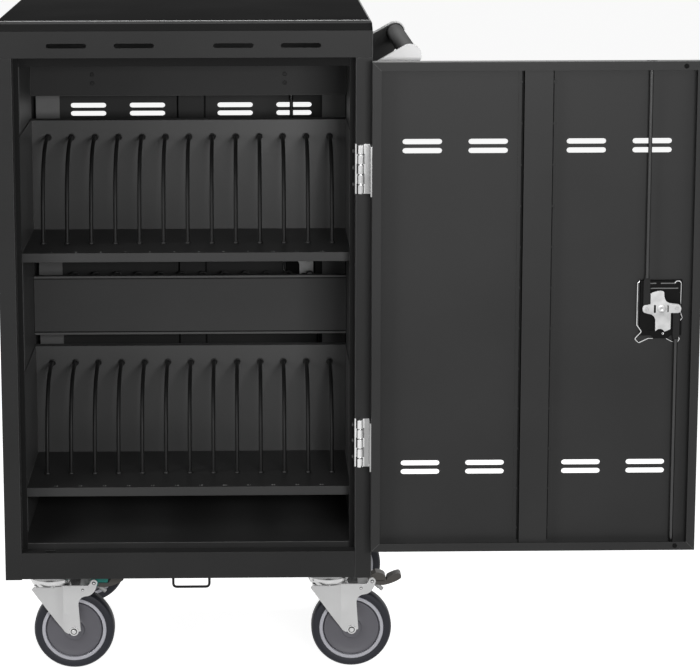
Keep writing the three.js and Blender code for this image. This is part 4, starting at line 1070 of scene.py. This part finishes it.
for side, door in DOORS.items():

    def on_lock(u, v, w):
        return door(LOCK_U + u, w, DOOR_MIDDLE + v)

    door_body = f"{side}_door"
    lock_body = f"{side}_lock"
    dress(f"{side}_lock_body", lock_plastic_and_shade, 0.8)
    dress(f"{side}_lock_handle", lock_plastic_and_shade, 1.2)
    trim = bmesh.new()
    for v, spans in ((38, ((-17.4, -8.2), (-1.4, 18.4))), (30.4, ((-16.4, 25),))):
        for u0, u1 in spans:
            add_plate(trim, [round_box(u0, u1, v - 0.7, v + 0.7, 0.5, 2)], BODY_FACE, BODY_FACE + 1.2, on_lock)
    fit_piece(f"{side}_lock_ribs", mesh_of(trim, rib_edge), door_body)
    neck = bmesh.new()
    add_plate(neck, [rounded([(-20, -34, 1), (-11, -47, 2), (11, -47, 2), (23, -34, 1)], 3)],
              8.6, BODY_FACE + 1.5, on_lock)
    fit_piece(f"{side}_lock_neck", mesh_of(neck, lock_plastic_and_shade, 0.6), door_body)
    toward_room = Vector((0, -1, 0))
    head = scattered(screw_head(2), [(on_lock(3.3, -38.5, BODY_FACE), toward_room)], clip_wire)
    fit_piece(f"{side}_lock_neck_screw", head, door_body)
    clip = bmesh.new()
    for path in (CLIP_LEFT, CLIP_RIGHT, HOOK):
        add_wire(clip, filleted([on_lock(*corner) for corner in path], 3 * MM), 0.9, 8)
    fit_piece(f"{side}_lock_clip", mesh_of(clip, clip_wire), door_body)

    cam = bmesh.new()
    left_end = arc_points(-ARM_RADIUS, 0, 6.4, 258, 102, 12)
    right_end = arc_points(ARM_RADIUS, 1.2, 6.4, 72, -72, 12)
    outline = left_end + CAM_LOBE + right_end + CAM_TONGUE
    add_plate(cam, [outline], *CAM_FACE, on_lock)
    for u in (-1, 1):
        arm = round_box(u * 18 - 11, u * 18 + 11, -6, 6.5, 5)
        add_plate(cam, [arm], CAM_FACE[1] - 0.3, CAM_FACE[1] + 0.9, on_lock)
    add_plate(cam, [round_box(-2.6, 2.6, -9.4, -6, 0.6, 2)], CAM_FACE[1] - 0.3, CAM_FACE[1] + 1, on_lock)
    # Two near black strips on the cam beside its raised arms are painted shade.
    cam_shade_lines = bmesh.new()
    for u, half, low, high in ((-10.6, 1.5, -5.6, 6.2), (9.2, 0.9, -4.4, 5.6)):
        cam_shade_line = round_box(u - half, u + half, low, high, 0.4, 2)
        add_plate(cam_shade_lines, [cam_shade_line], CAM_FACE[1] + 0.3, CAM_FACE[1] + 1, on_lock)
    fit_piece(f"{side}_lock_cam_slots", mesh_of(cam_shade_lines, lock_plastic_and_shade), lock_body)
    cam_mesh = mesh_of(cam, cam_zinc, 0.7)
    fit_piece(f"{side}_lock_cam_finish", cam_mesh, lock_body, [f"{side}_lock_cam"])
    rivets = bmesh.new()
    for u, v, radius in ((-ARM_RADIUS, 0, 2.6), (ARM_RADIUS, 1.2, 2.6), (0, 0, 6.5)):

        def about_rivet(p, q, w):
            return on_lock(u + p, v + q, w)

        face = CAM_FACE[1] + (0.6 if radius < 5 else -0.3)
        add_turned(rivets, [(0, face), (radius, face), (radius, face + 0.5), (radius * 0.8, face + 1.1),
                            (radius * 0.35, face + 1.1), (radius * 0.25, face + 0.8), (0, face + 0.8)],
                   24, about_rivet)
    fit_piece(f"{side}_lock_rivets", mesh_of(rivets, cam_zinc), lock_body)

    for name, u, way, end in (("upper", -ARM_RADIUS, 1, DOOR_TOP + 1), ("lower", ARM_RADIUS, -1, DOOR_BOTTOM - 1)):
        rod = bmesh.new()

        def about_rod(p, q, w):
            return door(LOCK_U + u + p, ROD_D + q, w)

        span = sorted((DOOR_MIDDLE + way * 46, end))
        add_turned(rod, [(0, span[0]), (ROD_RADIUS - 0.5, span[0]), (ROD_RADIUS, span[0] + 0.5),
                         (ROD_RADIUS, span[1] - 0.5), (ROD_RADIUS - 0.5, span[1]), (0, span[1])], 24, about_rod)
        paddle = arc_points(u, 0, 5, 180, 360, 12) if way > 0 else arc_points(u, 0, 5, 0, 180, 12)
        neck_points = [(u + way * 5, way * 40), (u + way * 2.6, way * 52),
                       (u - way * 2.6, way * 52), (u - way * 5, way * 40)]
        add_plate(rod, [paddle + neck_points], ROD_D - 1.1, ROD_D + 1.1, on_lock)
        node = f"{side}_lock_rod_{name}"
        fit_piece(node + "_finish", mesh_of(rod, rod_coat, 0.3), f"{side}_{name}_rod", [node])
        tint(node + "_finish", rod_gloss, lambda face: abs(face.center.z / MM - DOOR_MIDDLE) > PADDLE_END)

# Casters: zinc-plated swivel forks under bolted plates. The legs swell out towards the swivel race and
# lie flat by the axle. Each wheel is a grey hub in a pale rim with a rubber tyre, and each front fork
# has a brake pedal on a pin through its ears, with a screw below it that sets the brake.
CASTER_X = 216
CASTER_Y = 65
TRAIL = 36
WHEEL_RADIUS = 62.5
FORK_FACE = 22
FORK_SHEET = 3
FORK_FOOT = WHEEL_RADIUS - 7
LEG_EDGE = TRAIL + 10.5
CROWN_TOP = 136
CROWN_FRONT = -25
SWELL = 9
SWELL_EDGE = (3, 20)
SWELL_FADE = 0.6
SWIVEL_TOP = 152.4
PEDAL_PIVOT = (68, 140)
EAR_RADIUS = 5.5
PEDAL_HALF = 11
caster_zinc = grained("caster_zinc", grey(0.7), grey(0.77), (0.3, 0.4), 0.12, metallic=0.3,
                      scales=(150, 1600, 18))
race_steel = grained("race_steel", grey(0.5), grey(0.6), (0.16, 0.26), 0.08, metallic=1.0)
tyre_rubber = grained("tyre_rubber", (0.022, 0.023, 0.03), (0.028, 0.029, 0.037), (0.5, 0.6), 0.3, specular=0.3)
rim_plastic = grained("rim_plastic", (0.68, 0.68, 0.74), (0.74, 0.74, 0.8), (0.4, 0.5), 0.1)
hub_plastic = grained("hub_plastic", (0.135, 0.132, 0.15), (0.16, 0.157, 0.178), (0.35, 0.45), 0.15)
pedal_plastic = grained("pedal_plastic", grey(0.085, 0.08), grey(0.12, 0.08), (0.4, 0.5), 0.3, specular=0.3)
screw_zinc = grained("screw_zinc", grey(0.6), grey(0.7), (0.4, 0.5), 0.2)
tab_plastic = grained("tab_plastic", (0.0, 0.24, 0.2), (0.0, 0.3, 0.25), (0.35, 0.45), 0.15)


def bend(start, control, end, steps=8):
    """Points of a quadratic bend between two outline points, without the first."""
    points = []
    for i in range(1, steps + 1):
        t = i / steps
        points.append(tuple(a * (1 - t) ** 2 + b * 2 * t * (1 - t) + c * t * t
                            for a, b, c in zip(start, control, end)))
    return points


def fork_leg(braked):
    """The side view of a fork leg, from the axle round the brake's ear to the swivel end."""
    points = rounded([(TRAIL - 14, FORK_FOOT + 6, 0), (TRAIL - 12, FORK_FOOT, 4), (LEG_EDGE, FORK_FOOT, 6),
                      (LEG_EDGE, FORK_FOOT + 7, 0)])
    shoulder = (LEG_EDGE - 3, CROWN_TOP - 30)
    points.append(shoulder)
    if braked:
        px, pz = PEDAL_PIVOT
        points += bend(shoulder, (LEG_EDGE - 2, CROWN_TOP - 18), (px - 12, CROWN_TOP - 17))
        points += bend((px - 12, CROWN_TOP - 17), (px + 1, CROWN_TOP - 16), (px + EAR_RADIUS, pz))
        points += arc_points(px, pz, EAR_RADIUS, 0, 180, 12)[1:]
        points.append((px - 9, CROWN_TOP))
    else:
        points.append((LEG_EDGE, CROWN_TOP))
    return points + [(CROWN_FRONT, CROWN_TOP), (CROWN_FRONT - 3, CROWN_TOP - 3)]


def leg_swell(x, z):
    """How far a leg stands out at a point: it follows the round race above and fades towards the axle."""
    low, high = SWELL_EDGE
    rise = max(0, min(1, (z - WHEEL_RADIUS) / (CROWN_TOP - WHEEL_RADIUS)))
    across = max(0, min(1, (x - low) / (high - low)))
    return SWELL * rise ** SWELL_FADE * (1 - across * across)


def add_fork(shape, place, braked):
    for side in (-1, 1):
        leg = bmesh.new()
        inner = side * (FORK_FACE - FORK_SHEET)
        add_plate(leg, [fork_leg(braked)], inner, side * FORK_FACE, lambda u, v, w: Vector((u, w, v)))
        for x in range(-24, 22, 2):
            geometry = leg.verts[:] + leg.edges[:] + leg.faces[:]
            bmesh.ops.bisect_plane(leg, geom=geometry, plane_co=(x, 0, 0), plane_no=(1, 0, 0))
        for z in range(64, 136, 8):
            geometry = leg.verts[:] + leg.edges[:] + leg.faces[:]
            bmesh.ops.bisect_plane(leg, geom=geometry, plane_co=(0, 0, z), plane_no=(0, 0, 1))
        for vert in leg.verts:
            x, y, z = vert.co
            vert.co = place(x, y + side * leg_swell(x, z), z)
        part = bpy.data.meshes.new("leg")
        leg.to_mesh(part)
        leg.free()
        shape.from_mesh(part)


def mirrored(half):
    """A wheel section from its half, given as (radius, distance from the middle) points."""
    return [(radius, -width) for radius, width in half] + [(radius, width) for radius, width in reversed(half)]


TYRE = [(49.8, 13.4), (53, 14.6), (57, 14.8), (59.8, 13.6), (61.6, 11.2), (WHEEL_RADIUS, 7.5)]
RIM = [(44.6, 9), (44.8, 13.6), (45.4, 14.2), (49.2, 14.2), (50, 13.4)]
HUB = [(5.9, 17.4), (14.6, 17.4), (15.2, 16.8), (16, 13.4), (19, 12.4), (38, 12.4), (40, 13.3), (42.2, 13.2),
       (43, 12), (43.2, 8), (44.7, 7.6)]
AXLE_WASHER = [(0, 0), (7.2, 0), (7.2, 1.2), (6.8, 1.6), (5, 1.6), (4.8, 1.3), (4.8, 0.4), (0, 0.4)]
AXLE_END = [(0, 0.4), (3.8, 0.4), (3.8, 2.4), (3.3, 3), (0, 3)]
AXLE_SHADE_RING = [(3.8, 0.42), (4.8, 0.42), (4.8, 1), (3.8, 1)]
RIVET = [(0, 0.02), (1.9, 0.02), (1.8, 0.8), (1.3, 1.2), (0, 1.3)]
RIVET_SHADE_RING = [(1.7, 0.05), (2.9, 0.05), (2.7, 0.4), (1.7, 0.4)]
THIN_SHADE_RING = [(1.7, 0.05), (2.3, 0.05), (2.2, 0.3), (1.7, 0.3)]
SET_SCREW = [(0, 0), (4, 0), (4, 7), (3.2, 7.6), (3.2, 13.4), (2.6, 14), (0, 14)]
SET_SCREW_SLANT = math.radians(-45)
for end, y in (("front", CASTER_Y), ("rear", DEPTH - CASTER_Y)):
    for hand, x in (("left", -CASTER_X), ("right", CASTER_X)):

        def on_caster(u, v, w):
            return at(x + u, y + v, w)

        def caster_side(u, v, w):
            return at(x + u, y + w, v)

        def about_axle(u, v, w):
            return at(x + TRAIL + u, y + w, WHEEL_RADIUS + v)

        name = f"{end}_{hand}"
        braked = end == "front"
        plate = bmesh.new()
        add_plate(plate, [round_box(-50, 50, -37, 37, 8)], 160.2, 162.7, on_caster)
        add_turned(plate, [(0, 152.8), (26, 152.8), (29, 154), (31, 157), (31, 160.4), (0, 160.4)], 40, on_caster)
        fit_piece(f"{name}_caster_plate_finish", mesh_of(plate, race_steel, 0.5), "cabinet",
                  [f"{name}_caster_plate"])
        fork = bmesh.new()
        add_fork(fork, on_caster, braked)
        fit_piece(f"{name}_fork_finish", mesh_of(fork, caster_zinc), f"{name}_fork",
                  [f"{name}_caster_fork"])
        race = bmesh.new()
        crown = round_box(CROWN_FRONT, LEG_EDGE - 0.5, -FORK_FACE + 0.5, FORK_FACE - 0.5, 5)
        add_plate(race, [crown], CROWN_TOP - 3, CROWN_TOP - 0.2, on_caster)
        add_turned(race, [(0, CROWN_TOP - 3), (26, CROWN_TOP - 3), (29.5, CROWN_TOP), (31.8, CROWN_TOP + 5),
                          (31.4, CROWN_TOP + 9), (28, CROWN_TOP + 13), (28, SWIVEL_TOP), (0, SWIVEL_TOP)],
                   48, on_caster)
        fit_piece(f"{name}_fork_race", mesh_of(race, race_steel), f"{name}_fork")

        # A near black ring round each axle end and each rivet is painted shade.
        bright = bmesh.new()
        dark = bmesh.new()
        for way in (-1, 1):

            def outward(u, v, w):
                return about_axle(u, v, way * (FORK_FACE + w))

            add_turned(bright, AXLE_WASHER, 40, outward)
            add_turned(bright, AXLE_END, 32, outward)
            add_turned(dark, AXLE_SHADE_RING, 32, outward)
            for u, v in ((50.6, 129), PEDAL_PIVOT) if braked else ():

                def about_rivet(p, q, w):
                    return caster_side(u + p, v + q, way * (FORK_FACE + w))

                add_turned(bright, RIVET, 20, about_rivet)
                shade_ring = RIVET_SHADE_RING if (u, v) == PEDAL_PIVOT else THIN_SHADE_RING
                add_turned(dark, shade_ring, 20, about_rivet)
        fit_piece(f"{name}_fork_fixings", mesh_of(bright, race_steel), f"{name}_fork")
        fit_piece(f"{name}_fork_seats", mesh_of(dark, rubber_and_painted_shade), f"{name}_fork")

        wheel = f"{name}_wheel"
        for part, half, material in (("tyre", TYRE, tyre_rubber), ("rim", RIM, rim_plastic), ("hub", HUB, hub_plastic)):
            shape = bmesh.new()
            add_turned(shape, mirrored(half), 72, about_axle)
            replaced = [f"{name}_caster_wheel"] if part == "tyre" else []
            fit_piece(f"{wheel}_{part}", mesh_of(shape, material), wheel, replaced)
        if not braked:
            continue

        px, pz = PEDAL_PIVOT
        pad = [(px + 6, pz - 8.5), (px + 17, pz - 10)]
        pad += bend((px + 17, pz - 10), (px + 34, pz - 7), (px + 45, pz + 1))
        pad += bend((px + 45, pz + 1), (px + 47.5, pz + 7), (px + 42, pz + 9))
        pad += bend((px + 42, pz + 9), (px + 34, pz + 8), (px + 24, pz + 2))
        pad += [(px + 22.5, pz - 3.2), (px + 6, pz - 3.2)]
        pedal = bmesh.new()
        add_plate(pedal, [pad], -PEDAL_HALF, PEDAL_HALF, caster_side)
        fit_piece(f"{name}_pedal_finish", mesh_of(pedal, pedal_plastic, 2), f"{name}_pedal",
                  [f"{name}_brake_pedal"])
        hump = arc_points(px, pz, 6, 110, 240, 10) + [(px + 5, pz - 8), (px + 6.5, pz - 2.4), (px + 20, pz - 2.4)]
        hump += bend((px + 20, pz - 2.4), (px + 23, pz + 1), (px + 20, pz + 6))
        hump += bend((px + 20, pz + 6), (px + 15, pz + 10.5), (px + 6, pz + 10.5))
        cam = bmesh.new()
        add_plate(cam, [hump], 0.6 - PEDAL_HALF, PEDAL_HALF - 0.6, caster_side)
        hump_plastic = tab_plastic if hand == "left" else pedal_plastic
        fit_piece(f"{name}_pedal_cam", mesh_of(cam, hump_plastic, 1.4), f"{name}_pedal")

        def along_screw(u, v, w):
            over = w * math.cos(SET_SCREW_SLANT) - v * math.sin(SET_SCREW_SLANT)
            up = w * math.sin(SET_SCREW_SLANT) + v * math.cos(SET_SCREW_SLANT)
            return caster_side(px + 7 + over, pz - 10 + up, u)

        screw = bmesh.new()
        add_turned(screw, SET_SCREW, 24, along_screw)
        fit_piece(f"{name}_brake_screw", mesh_of(screw, screw_zinc), f"{name}_pedal")

# Stage: a pale floor that takes the cart's shadow, a white surround and large soft lamps. The camera
# stands level with the top of the cart and looks a little down on it.
FLOOR_SIZE = 14
floor_mesh = bpy.data.meshes.new("floor")
span = (-FLOOR_SIZE, FLOOR_SIZE)
floor_mesh.from_pydata([(x, y, 0) for x in span for y in span], [], [(0, 2, 3, 1)])
floor = link_object("floor", floor_mesh)
floor_paint = bpy.data.materials.new("floor_paint")
floor_paint.use_nodes = True
floor_tree = floor_paint.node_tree
floor_shader = floor_tree.nodes["Principled BSDF"]
floor_shader.inputs["Base Color"].default_value = (0.5, 0.5, 0.5, 1)
floor_shader.inputs["Roughness"].default_value = 0.9
floor_shader.inputs["Specular IOR Level"].default_value = 0.0
floor_shader.inputs["Emission Color"].default_value = (1, 1, 1, 1)
floor_mesh.materials.append(floor_paint)


def seen_ray(tree):
    """One where a ray shows the surround itself: to the camera, in a reflection or through glass."""
    path = tree.nodes.new("ShaderNodeLightPath")
    seen = math_node(tree, "MAXIMUM", path.outputs["Is Camera Ray"], path.outputs["Is Glossy Ray"])
    return math_node(tree, "MAXIMUM", seen, path.outputs["Is Transmission Ray"])


FLOOR_WHITE = 0.94
glow = math_node(floor_tree, "MULTIPLY", seen_ray(floor_tree), FLOOR_WHITE)
floor_tree.links.new(glow, floor_shader.inputs["Emission Strength"])

AMBIENT = 0.02
world = bpy.data.worlds.new("studio")
world.use_nodes = True
bpy.context.scene.world = world
sky = world.node_tree
level = math_node(sky, "ADD", math_node(sky, "MULTIPLY", seen_ray(sky), 1 - AMBIENT), AMBIENT)
sky.links.new(level, sky.nodes["Background"].inputs["Strength"])
sky.nodes["Background"].inputs["Color"].default_value = (1, 1, 1, 1)


def lamp(name, place, aim, size, power):
    data = bpy.data.lights.new(name, "AREA")
    data.shape = "RECTANGLE"
    data.size, data.size_y = size
    data.energy = power
    light = link_object(name, data)
    light.location = place
    light.rotation_euler = (Vector(aim) - Vector(place)).to_track_quat("-Z", "Y").to_euler()


lamp("front_soft_box", (0.45, -3.0, 1.15), (-0.05, 0.0, 0.75), (0.8, 0.4), 32)
lamp("left_soft_box", (-1.5, -1.3, 1.2), (-0.3, 0.0, 0.8), (0.7, 1.0), 9)
lamp("right_soft_box", (1.4, -1.4, 1.3), (0.1, 0.0, 0.75), (0.6, 0.9), 1.5)
lamp("top_soft_box", (-0.3, 1.7, 2.7), (-0.1, 0.3, 0.4), (1.4, 1.0), 60)

CAMERA_PLACE = at(97.2, -3737.0, 1332.5)
CAMERA_PITCH = 0.1758
CAMERA_YAW = 0.0175
CAMERA_ROLL = -0.0018
lens = bpy.data.cameras.new("camera")
lens.sensor_width = 36
lens.lens = 130.2
lens.shift_x = 0.08
lens.shift_y = -0.12
camera = link_object("camera", lens)
camera.matrix_world = (
    Matrix.Translation(CAMERA_PLACE)
    @ Matrix.Rotation(-CAMERA_YAW, 4, "Z")
    @ Matrix.Rotation(math.pi / 2 - CAMERA_PITCH, 4, "X")
    @ Matrix.Rotation(CAMERA_ROLL, 4, "Z")
)
bpy.context.scene.camera = camera
bpy.context.scene.view_settings.view_transform = "Standard"
